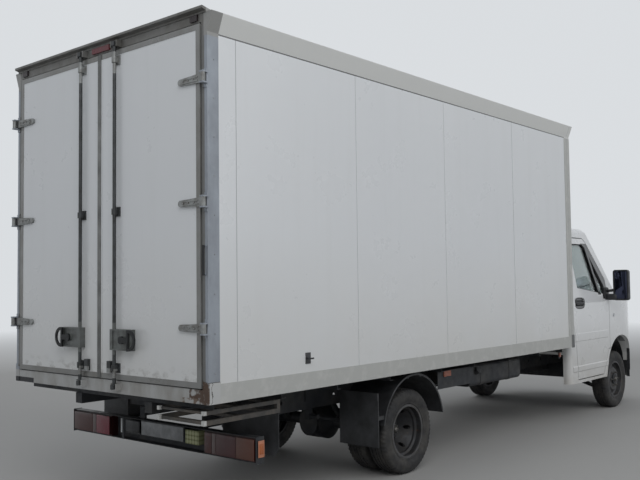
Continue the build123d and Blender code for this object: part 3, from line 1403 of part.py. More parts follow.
# Cab interior: seats with headrests and a dashboard with the steering wheel
seat_rear = front_axle_station - 991
cushion_low = 940
cushion_top = 1130
backrest_top = 1620
with BuildPart() as seats:
    for low, high in ((220, 760), (-760, -160)):
        block((seat_rear, seat_rear + 440), (low + 30, high - 30), (floor_height + 35, cushion_low))
        block((seat_rear, seat_rear + 480), (low, high), (cushion_low, cushion_top))
        with BuildSketch(side_view(y=high)):
            with BuildLine():
                Polyline(
                    (seat_rear + 10, cushion_low), (seat_rear + 130, cushion_low),
                    (seat_rear, backrest_top), (seat_rear - 110, backrest_top), close=True)
            make_face()
        extrude(amount=high - low)
        middle = (low + high) / 2
        block((seat_rear - 106, seat_rear - 30), (middle - 130, middle + 130), (backrest_top, backrest_top + 190))
    fillet(seats.edges().filter_by(Axis.Y).group_by(Axis.Z)[-1], 24)
save(seats, "seats")

dash_half_width = 760
wheel_radius = 205
with BuildPart() as dashboard:
    with BuildSketch(side_view(y=dash_half_width)):
        with BuildLine():
            Polyline(*shifted((
                (firewall, 1050), (firewall, belt_height - 50), (-1, belt_height + 30),
                (-161, belt_height + 45), (-221, belt_height - 10), (-141, 1100))), close=True)
        make_face()
    extrude(amount=2 * dash_half_width)
    block(ahead(-215, -1), (330, 570), (belt_height + 20, belt_height + 85))
    column = Plane(origin=(place(front_axle_station - 141), 450, belt_height - 70), z_dir=(-0.8, 0, 0.45))
    with Locations(column):
        Cylinder(30, 210, align=(Align.CENTER, Align.CENTER, Align.MIN))
    with Locations(column.offset(200)):
        Torus(wheel_radius - 15, 15)
        Cylinder(48, 30)
        Box(36, 2 * wheel_radius - 40, 12)
save(dashboard, "dashboard")

# Low deflector on the rear of the cab roof
deflector_half = 680
deflector_points = ((110, 70), (330, 97), (590, 25))  # distance ahead of the cab's back, rise above the roof
with BuildPart() as deflector:
    with BuildSketch(side_view(cab_back, deflector_half, roof_height)):
        with BuildLine():
            for drop in (0, 12):
                ThreePointArc(*[(distance, rise - drop) for distance, rise in deflector_points])
            for distance, rise in (deflector_points[0], deflector_points[-1]):
                Line((distance, rise), (distance, rise - 12))
        make_face()
    extrude(amount=2 * deflector_half)
    for side in (1, -1):
        for distance, rise in ((170, 84), (450, 67)):
            block((cab_back + distance, cab_back + distance + 40), (side * 600, side * 612),
                  (roof_height, roof_height + rise))
save(deflector, "roof_deflector")
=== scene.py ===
"""Looks of a refrigerated box truck: finishes, tyres, trim and lamps around the fixed frame.

Metres. +X is forward, +Y is the driver's left, +Z is up, with the origin on the ground under the
middle of the truck. A station is a distance forward of the closed rear doors' outer face.
"""
from math import cos, pi, radians, sin

import bmesh
import bpy
from mathutils import Matrix, Vector


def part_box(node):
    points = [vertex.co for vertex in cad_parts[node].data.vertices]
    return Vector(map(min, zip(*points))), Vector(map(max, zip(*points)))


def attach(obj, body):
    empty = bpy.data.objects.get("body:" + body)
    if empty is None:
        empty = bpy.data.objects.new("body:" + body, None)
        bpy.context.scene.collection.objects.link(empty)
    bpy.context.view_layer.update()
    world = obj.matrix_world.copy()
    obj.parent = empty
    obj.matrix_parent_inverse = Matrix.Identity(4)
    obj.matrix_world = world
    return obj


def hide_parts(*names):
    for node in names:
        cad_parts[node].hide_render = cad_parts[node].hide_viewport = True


bl_info = {
    "name": "Refrigerated truck looks",
    "version": (1, 0, 0),
    "blender": (4, 5, 0),
    "location": "View3D > Sidebar > Truck",
    "description": "Finishes, tyres, trim, lamps and stage of a refrigerated box truck",
    "category": "Object",
}

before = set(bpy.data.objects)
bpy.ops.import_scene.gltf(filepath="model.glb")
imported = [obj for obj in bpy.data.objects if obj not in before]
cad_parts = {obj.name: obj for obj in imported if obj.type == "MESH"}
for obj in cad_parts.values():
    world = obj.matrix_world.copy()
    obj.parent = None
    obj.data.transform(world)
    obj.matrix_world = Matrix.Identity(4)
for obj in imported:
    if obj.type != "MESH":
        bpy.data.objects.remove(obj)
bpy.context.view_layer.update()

BOX_LENGTH = 5.250
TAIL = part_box("box_front_wall")[1].x - BOX_LENGTH
HALF_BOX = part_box("box_wall_left")[1].y
ROAD = 0.0
SIDES = (("left", 1), ("right", -1))

# Places in the part's source that the pieces are set to, in metres. Rear doors and box:
DOOR_BOTTOM, DOOR_TOP, DOOR_EDGE = 0.932, 3.165, 1.042
HINGE_HEIGHTS, HINGE_PIVOT, STRAP_FACE = (1.293, 2.060, 2.820), 1.098, -0.016
PANEL_SEAMS = (0.246, 1.472, 2.697, 3.933)
TOP_RAIL_BOTTOM = 3.108
LAMP_BAR_REAR, LAMP_BAR_END = 0.475, 1.0405

# Wheels: distance of the disc's face and the hub's from the middle plane, and the twins' spacing
WHEEL_FACES = {"front": (0.929, 0.9467), "rear": (0.758, 0.814)}
TWIN_SPACINGS = {"front": (0.0,), "rear": (-0.110, 0.110)}

# Cab: half its width at belt and roof, and the side window's outline and pillar as (station, height)
CAB_HALF, ROOF_HALF, BELT_Z, SHOULDER_Z = 1.034, 0.890, 1.300, 2.107
WINDOW_INSET = 0.018
WINDOW = ((5.600, 1.470), (5.590, 1.930), (5.640, 1.975), (5.960, 1.975), (6.020, 1.940), (6.360, 1.500),
          (6.390, 1.385))
PILLAR_FOOT, PILLAR_HEAD = (6.2125, 1.400), (6.0375, 1.975)
HANDLE_STATION = 5.595
MIRROR_STATION = 6.395

# Windscreen: ends of its slope as (station, height), and how far its sides bow back
SCREEN_TOP, SCREEN_BOTTOM = (6.310, 2.110), (6.980, 1.330)
SCREEN_BOW, SCREEN_BOW_AT, SCREEN_INSET = 0.152, 0.950, 0.014

# Nose's corner as (station, half width), reflectors as (half width, height, radius), and seats' edges
NOSE_CORNER = ((7.350, 0.9025), (7.375, 0.886), (7.400, 0.869), (7.425, 0.849), (7.436, 0.840))
HEADLAMP_REFLECTORS = ((0.585, 0.862, 0.070), (0.745, 0.880, 0.058))
SEATS = ((0.220, 0.760), (-0.760, -0.160))

# Limits of the finishes' regions, in metres
WALL_SKIN = (HALF_BOX - 0.03, None)
SIDE_LEAN, INNER_GIRTH = 0.178, 0.988
SCREEN_CURVE, SCREEN_NORMAL, SCREEN_DEPTH = 0.168, (0.7586, 0.6516), -0.045
ARCH_SKIN, ARCH_REACH = 1.012, 0.452
WINDOW_TOP, WINDOW_FOOT = 1.985, 1.38


def at(station):
    """X coordinate of a station."""
    return TAIL + station


def frame_centre(node):
    """Middle of a node's box."""
    low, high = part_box(node)
    return (low + high) / 2


# Node trees

def feed(tree, socket, value):
    """Feed a socket from another one, or set it to a plain value; a colour gets full alpha."""
    if isinstance(value, bpy.types.NodeSocket):
        tree.links.new(value, socket)
    elif socket.type == "RGBA":
        socket.default_value = (*value, 1.0)
    else:
        socket.default_value = value


def add_node(tree, kind, inputs, **settings):
    """Outputs of a new node, with its settings made and its inputs fed by name or number."""
    node = tree.nodes.new(kind)
    for name, value in settings.items():
        setattr(node, name, value)
    for name, value in inputs.items():
        feed(tree, node.inputs[name], value)
    return node.outputs


def blend_shaders(tree, share, first, second, output):
    """Mix two shaders and give the result to a tree's output node."""
    mixed = add_node(tree, "ShaderNodeMixShader", {"Fac": share, 1: first, 2: second})
    tree.links.new(mixed["Shader"], tree.nodes[output].inputs["Surface"])


# Node-built finishes

class Finish:
    """A principled material with short calls for its patterns, in object coordinates."""

    NOISE_ROUGHNESS = 0.6
    NOISE_RANGE = (0.3, 0.7)

    def __init__(self, name, metallic=0.0, roughness=0.5):
        self.material = bpy.data.materials.new(name)
        self.material.use_nodes = True
        self.tree = self.material.node_tree
        self.shader = self.tree.nodes["Principled BSDF"]
        self.coords = self.add("ShaderNodeTexCoord", {}, "Object")
        self.set(Metallic=metallic, Roughness=roughness)

    def set(self, **values):
        """Set sockets of the shader that are the same all over."""
        for name, value in values.items():
            self.shader.inputs[name.replace("_", " ")].default_value = value
        return self

    def add(self, kind, inputs, output, **settings):
        """One output of a new node."""
        return add_node(self.tree, kind, inputs, **settings)[output]

    # Patterns

    def stretched(self, stretch):
        """Object coordinates scaled along the axes."""
        return self.add("ShaderNodeMapping", {"Vector": self.coords, "Scale": stretch}, "Vector")

    def noise(self, scale, detail, stretch=(1, 1, 1)):
        """Noise between 0 and 1."""
        return self.add("ShaderNodeTexNoise", {
            "Scale": scale, "Detail": detail, "Roughness": self.NOISE_ROUGHNESS,
            "Vector": self.stretched(stretch)}, "Fac")

    def cells(self, scale, stretch=(1, 1, 1), randomness=1.0):
        """Distance in a cell pattern."""
        return self.add("ShaderNodeTexVoronoi", {"Scale": scale, "Randomness": randomness,
                                                 "Vector": self.stretched(stretch)}, "Distance")

    def wave(self, scale, direction):
        """Parallel bands."""
        return self.add("ShaderNodeTexWave", {"Scale": scale, "Vector": self.coords}, "Fac",
                        bands_direction=direction)

    def axis(self, name):
        """One object coordinate; side is the distance from the middle plane."""
        if name == "side":
            return self.size(self.axis("Y"))
        return self.add("ShaderNodeSeparateXYZ", {"Vector": self.coords}, name)

    def spread(self, value, low, high, out_low=0.0, out_high=1.0):
        """Value stretched from low..high to a new range, and held inside it."""
        return self.add("ShaderNodeMapRange", {"Value": value, "From Min": low, "From Max": high,
                                               "To Min": out_low, "To Max": out_high}, "Result")

    def patches(self, scale, detail, low, high, stretch=(1, 1, 1)):
        """Noise patches: none where the noise is at low, full where it is at high."""
        return self.spread(self.noise(scale, detail, stretch), low, high)

    # Arithmetic of sockets and plain numbers

    def maths(self, operation, first, second=0.0):
        """One step of arithmetic."""
        return self.add("ShaderNodeMath", {0: first, 1: second}, "Value", operation=operation)

    def times(self, first, *others):
        """Product of values, or the region that masks share."""
        for other in others:
            first = self.maths("MULTIPLY", first, other)
        return first

    def plus(self, first, *others):
        """Sum of values."""
        for other in others:
            first = self.maths("ADD", first, other)
        return first

    def minus(self, first, second):
        """Difference of two values."""
        return self.maths("SUBTRACT", first, second)

    def less(self, first, second):
        """1 where the first value is less than the second."""
        return self.maths("LESS_THAN", first, second)

    def size(self, value):
        """Value without its sign."""
        return self.maths("ABSOLUTE", value)

    def reach(self, first, second):
        """Length of a flat vector, squared."""
        return self.plus(self.times(first, first), self.times(second, second))

    def region(self, **limits):
        """1 where every named coordinate is between its limits."""
        masks = []
        for name, (low, high) in limits.items():
            for operation, limit in (("GREATER_THAN", low), ("LESS_THAN", high)):
                if limit is not None:
                    masks.append(self.maths(operation, self.axis(name), limit))
        return self.times(*masks)

    # Colours and the shader's own inputs

    def mix(self, factor, first, second):
        """Colour between two colours, which may be plain or sockets."""
        return self.add("ShaderNodeMix", {"Factor": factor, 6: first, 7: second}, 2, data_type="RGBA")

    def paint_over(self, base, *regions):
        """Colour with others laid over it, each as (mask, colour)."""
        for mask, colour in regions:
            base = self.mix(mask, base, colour)
        return base

    def colour(self, value):
        """Base colour from a socket or a plain colour."""
        feed(self.tree, self.shader.inputs["Base Color"], value)
        return self

    def roughness(self, value):
        """Roughness from a socket."""
        feed(self.tree, self.shader.inputs["Roughness"], value)
        return self

    def gloss(self, scale, detail, low, high):
        """Roughness that wanders between two values in soft patches."""
        return self.roughness(self.spread(self.noise(scale, detail), *self.NOISE_RANGE, low, high))

    def bump(self, *layers):
        """Bump from layers of (height, distance in metres, strength)."""
        below = {}
        for height, distance, strength in layers:
            normal = self.add("ShaderNodeBump", {"Distance": distance, "Strength": strength, "Height": height,
                                                 **below}, "Normal")
            below = {"Normal": normal}
        feed(self.tree, self.shader.inputs["Normal"], normal)
        return self


def white_panel():
    """Glass-fibre skin: white, softly uneven, with road film low down, rain streaks and dark seams."""
    skin = Finish("white_panel")
    film_top, film_full, seam_half = 1.9, 0.85, 0.0025
    splash_top, splash_full = 1.06, 0.96
    clean = skin.mix(skin.noise(0.6, 2), (0.70, 0.72, 0.74), (0.76, 0.775, 0.785))
    streaks = skin.times(skin.patches(9, 3, 0.52, 0.78, stretch=(1, 1, 0.06)), 0.12)
    film = skin.times(skin.spread(skin.axis("Z"), film_top, film_full), skin.noise(1.3, 6))
    seams = [(skin.region(X=(at(station) - seam_half, at(station) + seam_half), side=WALL_SKIN),
              (0.40, 0.41, 0.42)) for station in PANEL_SEAMS]
    rail_shade = skin.region(Z=(TOP_RAIL_BOTTOM - 0.009, TOP_RAIL_BOTTOM + 0.002), side=WALL_SKIN)
    splash = skin.times(skin.region(X=(None, at(0.002)), Z=(None, splash_top)),
                        skin.spread(skin.axis("Z"), splash_top, splash_full),
                        skin.patches(14, 8, 0.50, 0.68, stretch=(1, 1, 1.6)))

    # The doors' raised rims and side edges, all but the white strips beside the centre seal
    rim_face = (None, at(-0.0005))
    edges = skin.maths("MAXIMUM", skin.region(X=rim_face), skin.region(X=(None, at(0.09)), side=(1.03, None)))
    strips = skin.region(X=rim_face, side=(0.017, 0.060), Z=(DOOR_BOTTOM + 0.036, DOOR_TOP - 0.036))
    grimy = skin.mix(skin.patches(5, 8, 0.38, 0.66), (0.23, 0.232, 0.225), (0.165, 0.160, 0.145))

    skin.colour(skin.paint_over(
        clean, (streaks, (0.58, 0.59, 0.58)), (film, (0.67, 0.66, 0.62)), *seams,
        (rail_shade, (0.085, 0.088, 0.092)), (splash, (0.38, 0.375, 0.355)),
        (skin.minus(edges, strips), grimy)))
    skin.gloss(3, 5, 0.24, 0.40)
    skin.bump((skin.noise(0.9, 1.5, stretch=(1, 1, 0.5)), 0.010, 0.5), (skin.noise(160, 2), 0.0004, 0.25))
    return skin.set(Coat_Weight=0.25, Coat_Roughness=0.18).material


def cab_inside(paint):
    """Mask of the cab's inner skin: within its leaning sides and behind its bowed windscreen."""
    z, side = paint.axis("Z"), paint.axis("side")
    lean = paint.times(SIDE_LEAN, paint.maths("MAXIMUM", paint.minus(z, BELT_Z), 0.0))
    bow = paint.times(SCREEN_CURVE, side, side)
    ahead = paint.times(SCREEN_NORMAL[0], paint.minus(paint.axis("X"), at(SCREEN_TOP[0])))
    above = paint.times(SCREEN_NORMAL[1], paint.minus(z, SCREEN_TOP[1]))
    room = paint.region(X=(at(5.345), at(7.05)), Z=(0.70, 2.125))
    return paint.times(room, paint.less(paint.plus(side, lean), INNER_GIRTH),
                       paint.less(paint.plus(bow, ahead, above), SCREEN_DEPTH))


def wheel_arch(paint):
    """Mask of the front wheel arches: the lining over the wheel and the skirt round its rim."""
    wheel = frame_centre("front_rim_left")
    away = paint.reach(paint.minus(paint.axis("X"), wheel.x), paint.minus(paint.axis("Z"), wheel.z))
    skirt = paint.times(paint.less(away, ARCH_REACH ** 2), paint.region(side=(None, ARCH_SKIN)))
    behind, ahead, lining_half, lining_top = 0.47, 0.44, 0.90, 1.02
    lining = paint.region(X=(wheel.x - behind, wheel.x + ahead), side=(None, lining_half),
                          Z=(None, lining_top))
    return paint.maths("MAXIMUM", lining, skirt)


def window_surround(paint):
    """Masks of a cab door's black parts: window pillar, front frame, its foot and the handle recess."""
    rise = paint.minus(paint.axis("Z"), WINDOW_FOOT)
    # Leaning bands: station of the foot, lean, reach behind and ahead of the line, and lower end
    pillar = (PILLAR_FOOT[0], 0.295, 0.045, 0.045, 1.385)
    front_frame = (6.448, 0.773, 0.055, 0.170, WINDOW_FOOT)
    masks = []
    for foot, slope, behind, ahead, low in (pillar, front_frame):
        line = paint.minus(at(foot), paint.times(slope, rise))
        off = paint.minus(paint.axis("X"), line)
        masks.append(paint.times(paint.maths("GREATER_THAN", off, -behind), paint.less(off, ahead),
                                 paint.region(Z=(low, WINDOW_TOP))))
    masks.append(paint.region(X=(at(6.290), None), Z=(1.335, 1.400)))
    # Recess: an oval, squared off by its power, in the door's outer skin
    recess_power, half_length, half_height, skin = 2.6, 0.127, 0.064, 1.0
    along, up = paint.minus(paint.axis("X"), at(HANDLE_STATION)), paint.minus(paint.axis("Z"), BELT_Z)
    oval = paint.plus(*(paint.maths("POWER", paint.size(paint.maths("DIVIDE", distance, half)), recess_power)
                        for distance, half in ((along, half_length), (up, half_height))))
    masks.append(paint.times(paint.less(oval, 1.0), paint.region(side=(skin, None))))
    return masks


def white_paint(name="white_paint", inner=True, door=False, arch=False):
    """Cab paint: white gloss over steel, dusty low down, with grey trim on the inside of the cab."""
    paint = Finish(name)
    dust_top, dust_full = 1.15, 0.35
    dust = paint.times(paint.spread(paint.axis("Z"), dust_top, dust_full), paint.noise(4, 6))
    clean = paint.mix(paint.noise(1.2, 3), (0.74, 0.75, 0.76), (0.80, 0.81, 0.81))
    regions = []
    if inner:
        regions.append((cab_inside(paint), (0.20, 0.205, 0.21)))
    if arch:
        regions.append((wheel_arch(paint), (0.020, 0.021, 0.023)))
    if door:
        regions += [(mask, (0.014, 0.015, 0.017)) for mask in window_surround(paint)]
    paint.colour(paint.paint_over(clean, (dust, (0.52, 0.49, 0.43)), *regions))
    paint.gloss(3, 3, 0.24, 0.36)
    paint.bump((paint.noise(220, 2), 0.00005, 0.2))
    return paint.set(Coat_Weight=0.6, Coat_Roughness=0.08).material


def unit_plastic():
    """White shell of the refrigeration unit, with dark slots, fans and underside."""
    shell = Finish("unit_plastic")
    low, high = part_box("refrigeration_unit")
    wear = shell.mix(shell.patches(5, 7, 0.40, 0.72), (0.70, 0.71, 0.71), (0.52, 0.52, 0.50))
    deep = shell.region(X=(low.x + 0.05, high.x - 0.035), side=(None, (high.y - low.y) / 2 - 0.05),
                        Z=(low.z + 0.02, high.z - 0.03))
    back = shell.region(X=(None, at(BOX_LENGTH - 0.01)))
    shell.colour(shell.paint_over(wear, (deep, (0.035, 0.036, 0.038)), (back, (0.10, 0.10, 0.11))))
    shell.gloss(15, 4, 0.34, 0.52)
    shell.bump((shell.noise(180, 2), 0.0001, 0.25))
    return shell.material


def edge_rail():
    """Light grey painted edge rails, chalky and scuffed, with dark lower caps in front."""
    rail = Finish("edge_rail")
    chalky = rail.mix(rail.patches(14, 8, 0.5, 0.72), (0.47, 0.475, 0.455), (0.54, 0.54, 0.52))
    top_rail = rail.region(Z=(TOP_RAIL_BOTTOM - 0.01, None))
    front_cap = rail.region(X=(at(5.188), None), Z=(None, 0.972))
    front_joint = rail.region(X=(at(5.186), at(5.189)))
    rail.colour(rail.paint_over(chalky, (top_rail, (0.70, 0.705, 0.685)), (front_cap, (0.13, 0.135, 0.135)),
                                (front_joint, (0.20, 0.20, 0.20))))
    rail.gloss(20, 4, 0.42, 0.62)
    rail.bump((rail.noise(2.5, 2, stretch=(1, 1, 4)), 0.004, 0.4), (rail.noise(90, 3), 0.0005, 0.3))
    return rail.material


def galvanised(name="galvanised", light=(0.42, 0.43, 0.44), dark=(0.26, 0.265, 0.27), rust_top=1.15):
    """Dull zinc with a spangle, grime, and rust that creeps up from the sill."""
    zinc = Finish(name, metallic=0.55)
    rust_fade = 0.32
    rust = zinc.times(zinc.spread(zinc.axis("Z"), rust_top, rust_top - rust_fade),
                      zinc.patches(16, 8, 0.50, 0.58))
    zinc.colour(zinc.paint_over(zinc.mix(zinc.cells(70), light, dark),
                                (zinc.patches(7, 8, 0.42, 0.66), (0.20, 0.19, 0.17)),
                                (rust, (0.17, 0.085, 0.045))))
    zinc.gloss(30, 4, 0.38, 0.62)
    zinc.bump((zinc.noise(60, 6), 0.0008, 0.4))
    return zinc.material


def frame_metal():
    """Weathered alloy of the rear frame: blue-grey posts, a grimy brown header darkened with painted shade
    from the cornice above it, pale sill, a rusty corner.
    """
    alloy = Finish("frame_metal", metallic=0.25)
    rear, rear_skin, cap_top = (None, at(0.03)), (None, at(0.012)), 0.968
    grime = alloy.patches(6, 8, 0.40, 0.68, stretch=(1, 1, 0.4))
    post = alloy.mix(grime, (0.33, 0.36, 0.40), (0.25, 0.27, 0.30))
    # The header's grime colours are darkened further with painted shade, the shadow that falls under the
    # cornice
    header = alloy.mix(grime, (0.19, 0.188, 0.18), (0.13, 0.126, 0.115))
    sill = alloy.mix(grime, (0.44, 0.445, 0.44), (0.31, 0.30, 0.28))
    # A crack that wanders about a station
    crack_station, wander, crack_half = 0.036, 0.014, 0.0022
    crack_at = alloy.plus(at(crack_station),
                          alloy.spread(alloy.noise(22, 4), *alloy.NOISE_RANGE, -wander, wander))
    crack = alloy.less(alloy.size(alloy.minus(alloy.axis("X"), crack_at)), crack_half)
    eaten = alloy.patches(11, 9, 0.44, 0.50)
    places = (
        (alloy.region(Z=(3.150, None), X=rear), header),
        (alloy.region(X=rear, Z=(None, DOOR_BOTTOM - 0.004)), sill),
        # Inner edge of the posts, lower caps, their seam, upper caps and the dark buffer
        (alloy.region(X=(at(-0.004), at(0.012)), side=(1.045, 1.075), Z=(0.95, 3.15)), (0.17, 0.17, 0.165)),
        (alloy.region(side=(HALF_BOX - 0.004, None), Z=(None, cap_top), X=(at(0.006), None)),
         (0.50, 0.505, 0.50)),
        (alloy.region(side=(HALF_BOX - 0.002, None), Z=(cap_top - 0.002, cap_top + 0.002)),
         (0.12, 0.12, 0.12)),
        (alloy.region(side=WALL_SKIN, Z=(3.085, None), X=(at(0.004), None)), (0.30, 0.30, 0.29)),
        (alloy.region(Y=(0.855, None), Z=(None, 0.874), X=rear_skin), (0.030, 0.031, 0.034)),
        # Cracked cap, rusty corner, stain below it and the grab handle
        (alloy.times(crack, alloy.region(Y=(None, -HALF_BOX), Z=(None, cap_top))), (0.06, 0.055, 0.05)),
        (alloy.times(eaten, alloy.region(X=rear_skin, Y=(None, -0.925), Z=(None, 0.985))),
         (0.085, 0.052, 0.036)),
        (alloy.times(eaten, alloy.region(X=rear_skin, Y=(-1.0, -0.86), Z=(None, 0.868))),
         (0.16, 0.115, 0.085)),
        (alloy.region(X=(None, at(-0.004)), Y=(None, -1.055), Z=(1.59, 1.80)), (0.016, 0.017, 0.018)))
    alloy.colour(alloy.paint_over(post, *places))
    alloy.gloss(30, 4, 0.40, 0.62)
    alloy.bump((alloy.noise(3, 2), 0.004, 0.4), (alloy.noise(70, 5), 0.0006, 0.35))
    return alloy.material


def lock_steel():
    """Door gear: pale hinge straps, dark rods, grey housings, black hand loops and painted shadow round the
    hinge pivots.
    """
    steel = Finish("lock_steel", metallic=0.35)
    grime = steel.patches(18, 8, 0.42, 0.66)
    rod = steel.mix(grime, (0.058, 0.062, 0.064), (0.034, 0.035, 0.034))
    strap = steel.mix(grime, (0.30, 0.31, 0.305), (0.17, 0.165, 0.155))
    housing = steel.mix(grime, (0.155, 0.165, 0.160), (0.095, 0.098, 0.092))
    gear, housing_heights = (None, 0.60), (1.10, 1.31)
    # Hinge straps, the hinges' knuckles on the posts' side darkened with painted shadow round the pivots,
    # housings, lower and upper keepers, and hand loops
    steel.colour(steel.paint_over(
        rod, (steel.region(side=(0.80, None)), strap),
        (steel.region(side=(1.062, None), X=(at(STRAP_FACE), None)), (0.10, 0.10, 0.10)),
        (steel.region(Z=housing_heights, side=gear), housing),
        (steel.region(Z=(0.945, 1.005), X=(at(-0.040), at(-0.012)), side=gear), strap),
        (steel.region(Z=(2.995, 3.145), side=gear), strap),
        (steel.region(Z=housing_heights, X=(None, at(-0.046)), side=gear), (0.014, 0.015, 0.016))))
    steel.gloss(30, 4, 0.36, 0.58)
    steel.bump((steel.noise(60, 6), 0.0006, 0.35))
    return steel.material


def ladder_steel():
    """Dark grimy tube of the step ladder, with white end caps."""
    steel = Finish("ladder_steel", metallic=0.3)
    grime = steel.mix(steel.patches(9, 8, 0.42, 0.66), (0.060, 0.058, 0.055), (0.11, 0.095, 0.080))
    caps = [steel.region(X=(None, at(0.052)), Y=(low - 0.001, low + 0.026)) for low in (-1.030, -0.605)]
    steel.colour(steel.mix(steel.maths("MAXIMUM", *caps), grime, (0.55, 0.55, 0.53)))
    steel.gloss(30, 4, 0.45, 0.7)
    steel.bump((steel.noise(60, 6), 0.0008, 0.4))
    return steel.material


LENS_RIBS = 70.0


def lamp_glass():
    """Every lamp body: clear headlamps, amber sides, dark header lamps and the pale honeycomb lamp."""
    cover = Finish("lamp_glass", roughness=0.16)
    ribs = cover.wave(LENS_RIBS, "Z")
    comb = cover.spread(cover.cells(34, stretch=(0.2, 1, 1), randomness=0.0), 0.30, 0.62)
    honey = cover.mix(comb, (0.42, 0.43, 0.24), (0.16, 0.17, 0.07))
    amber = cover.mix(ribs, (0.26, 0.085, 0.055), (0.40, 0.14, 0.085))
    clear = cover.mix(ribs, (0.50, 0.52, 0.54), (0.66, 0.68, 0.70))
    dark_ring, bulb_share = 0.012, 0.35
    # Each headlamp's chrome reflector is painted on the opaque lens: a dark ring, a bright disc that is a
    # painted reflection, and a grey bulb in its middle
    for y, z, radius in HEADLAMP_REFLECTORS:
        away = cover.maths("SQRT", cover.reach(cover.minus(cover.axis("side"), y),
                                               cover.minus(cover.axis("Z"), z)))
        clear = cover.paint_over(clear, (cover.less(away, radius + dark_ring), (0.030, 0.031, 0.033)),
                                 (cover.less(away, radius), (0.74, 0.75, 0.76)),
                                 (cover.less(away, bulb_share * radius), (0.28, 0.29, 0.31)))
    rear, header = (None, at(0.60)), (3.1, None)
    # Side repeaters, headlamps, then the rear lamps: red, honeycomb and work lamp, and the header's lamps
    cover.colour(cover.paint_over(
        amber, (cover.region(X=(at(5.8), None), Z=(0.9, None)), clear),
        (cover.region(X=(at(7.2), None)), clear),
        (cover.region(X=rear), (0.030, 0.007, 0.007)), (cover.region(X=rear, Y=(-0.50, -0.30)), honey),
        (cover.region(X=rear, Y=(0.14, 0.38)), (0.012, 0.012, 0.013)),
        (cover.region(Z=header), (0.022, 0.014, 0.016)),
        (cover.region(Z=header, side=(None, 0.3)),
         cover.mix(ribs, (0.10, 0.016, 0.022), (0.17, 0.03, 0.04)))))
    cover.gloss(10, 4, 0.12, 0.28)
    cover.bump((ribs, 0.001, 0.4))
    return cover.set(Coat_Weight=0.2, Coat_Roughness=0.06, Specular_IOR_Level=0.25).material


def lens(name, colour):
    """Moulded lamp lens with fine ribs."""
    cover = Finish(name, roughness=0.16)
    ribs = cover.wave(LENS_RIBS, "Z")
    cover.colour(cover.mix(ribs, tuple(0.45 * channel for channel in colour), colour))
    cover.gloss(10, 4, 0.12, 0.28)
    cover.bump((ribs, 0.001, 0.5))
    return cover.set(Coat_Weight=0.3, Coat_Roughness=0.06, Transmission_Weight=0.12).material


def dark_metal():
    """Black chassis paint under dry road dust."""
    metal = Finish("dark_metal")
    metal.colour(metal.mix(metal.patches(5, 8, 0.45, 0.75), (0.018, 0.020, 0.024), (0.046, 0.044, 0.040)))
    metal.gloss(12, 4, 0.5, 0.75)
    metal.bump((metal.noise(45, 5), 0.0008, 0.35))
    return metal.material


def rubber():
    """Tyre rubber with dust in its hollows."""
    tread = Finish("tyre_rubber")
    tread.colour(tread.mix(tread.patches(9, 8, 0.42, 0.72), (0.018, 0.018, 0.019), (0.062, 0.058, 0.052)))
    tread.gloss(25, 4, 0.62, 0.85)
    tread.bump((tread.noise(120, 4), 0.0006, 0.4))
    return tread.material


def wheel_paint():
    """Grey wheel paint dulled by brake dust: pale flanges, dark rear dishes, grey front discs, some rust."""
    paint = Finish("wheel_paint", metallic=0.35)
    grime = paint.patches(11, 8, 0.40, 0.66)
    flange = paint.mix(grime, (0.24, 0.24, 0.24), (0.11, 0.105, 0.098))
    dish = paint.mix(grime, (0.045, 0.046, 0.050), (0.030, 0.028, 0.026))
    front_disc = paint.mix(grime, (0.090, 0.091, 0.096), (0.055, 0.053, 0.050))
    lip = paint.spread(paint.axis("side"), 0.93, 0.985)
    base = paint.mix(paint.region(X=(0.0, None)), paint.mix(lip, dish, flange), front_disc)
    paint.colour(paint.mix(paint.patches(33, 6, 0.63, 0.70), base, (0.12, 0.06, 0.035)))
    paint.gloss(20, 4, 0.45, 0.7)
    paint.bump((paint.noise(80, 5), 0.0006, 0.35))
    return paint.material


def moulded_plastic(name="black_plastic", colour=(0.022, 0.023, 0.025), gloss=0.42):
    """Grained plastic, black where no colour is given, slightly faded."""
    plastic = Finish(name)
    faded = tuple(min(1.0, 2.2 * channel + 0.012) for channel in colour)
    plastic.colour(plastic.mix(plastic.patches(6, 6, 0.4, 0.75), colour, faded))
    plastic.gloss(15, 4, gloss, gloss + 0.2)
    plastic.bump((plastic.cells(420), 0.0003, 0.35))
    return plastic.material


def window_glass():
    """Tinted glass with a film of dust."""
    glass = Finish("window_glass", roughness=0.03)
    glass.colour((0.36, 0.43, 0.42))
    glass.roughness(glass.spread(glass.noise(3, 5), 0.3, 0.8, 0.02, 0.09))
    glass.set(Transmission_Weight=1.0, IOR=1.08, Alpha=0.60, Coat_Weight=0.8, Coat_Roughness=0.02)
    return glass.material


def mirror_silver():
    """Mirror glass, with a faint blue tint that wanders."""
    silver = Finish("mirror_glass", metallic=1.0, roughness=0.04)
    silver.colour(silver.mix(silver.noise(4, 3), (0.050, 0.056, 0.090), (0.065, 0.072, 0.11)))
    return silver.material


def seat_cloth():
    """Woven dark grey seat cloth."""
    cloth = Finish("seat_cloth")
    threads = 520
    weave = cloth.times(cloth.wave(threads, "X"), cloth.wave(threads, "Z"))
    cloth.colour(cloth.mix(weave, (0.030, 0.033, 0.040), (0.085, 0.09, 0.10)))
    cloth.bump((weave, 0.0006, 0.6))
    return cloth.set(Roughness=0.9, Sheen_Weight=0.35).material


FINISHES = {}


def finish_of(make, **options):
    """A finish made once and shared."""
    name = options.get("name", make.__name__)
    if name not in FINISHES:
        FINISHES[name] = make(**options)
    return FINISHES[name]


def dress(node, material):
    """Give a node of the frame its finish."""
    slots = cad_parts[node].material_slots
    for slot in slots:
        slot.material = material
    if not slots:
        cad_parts[node].data.materials.append(material)


# Settings

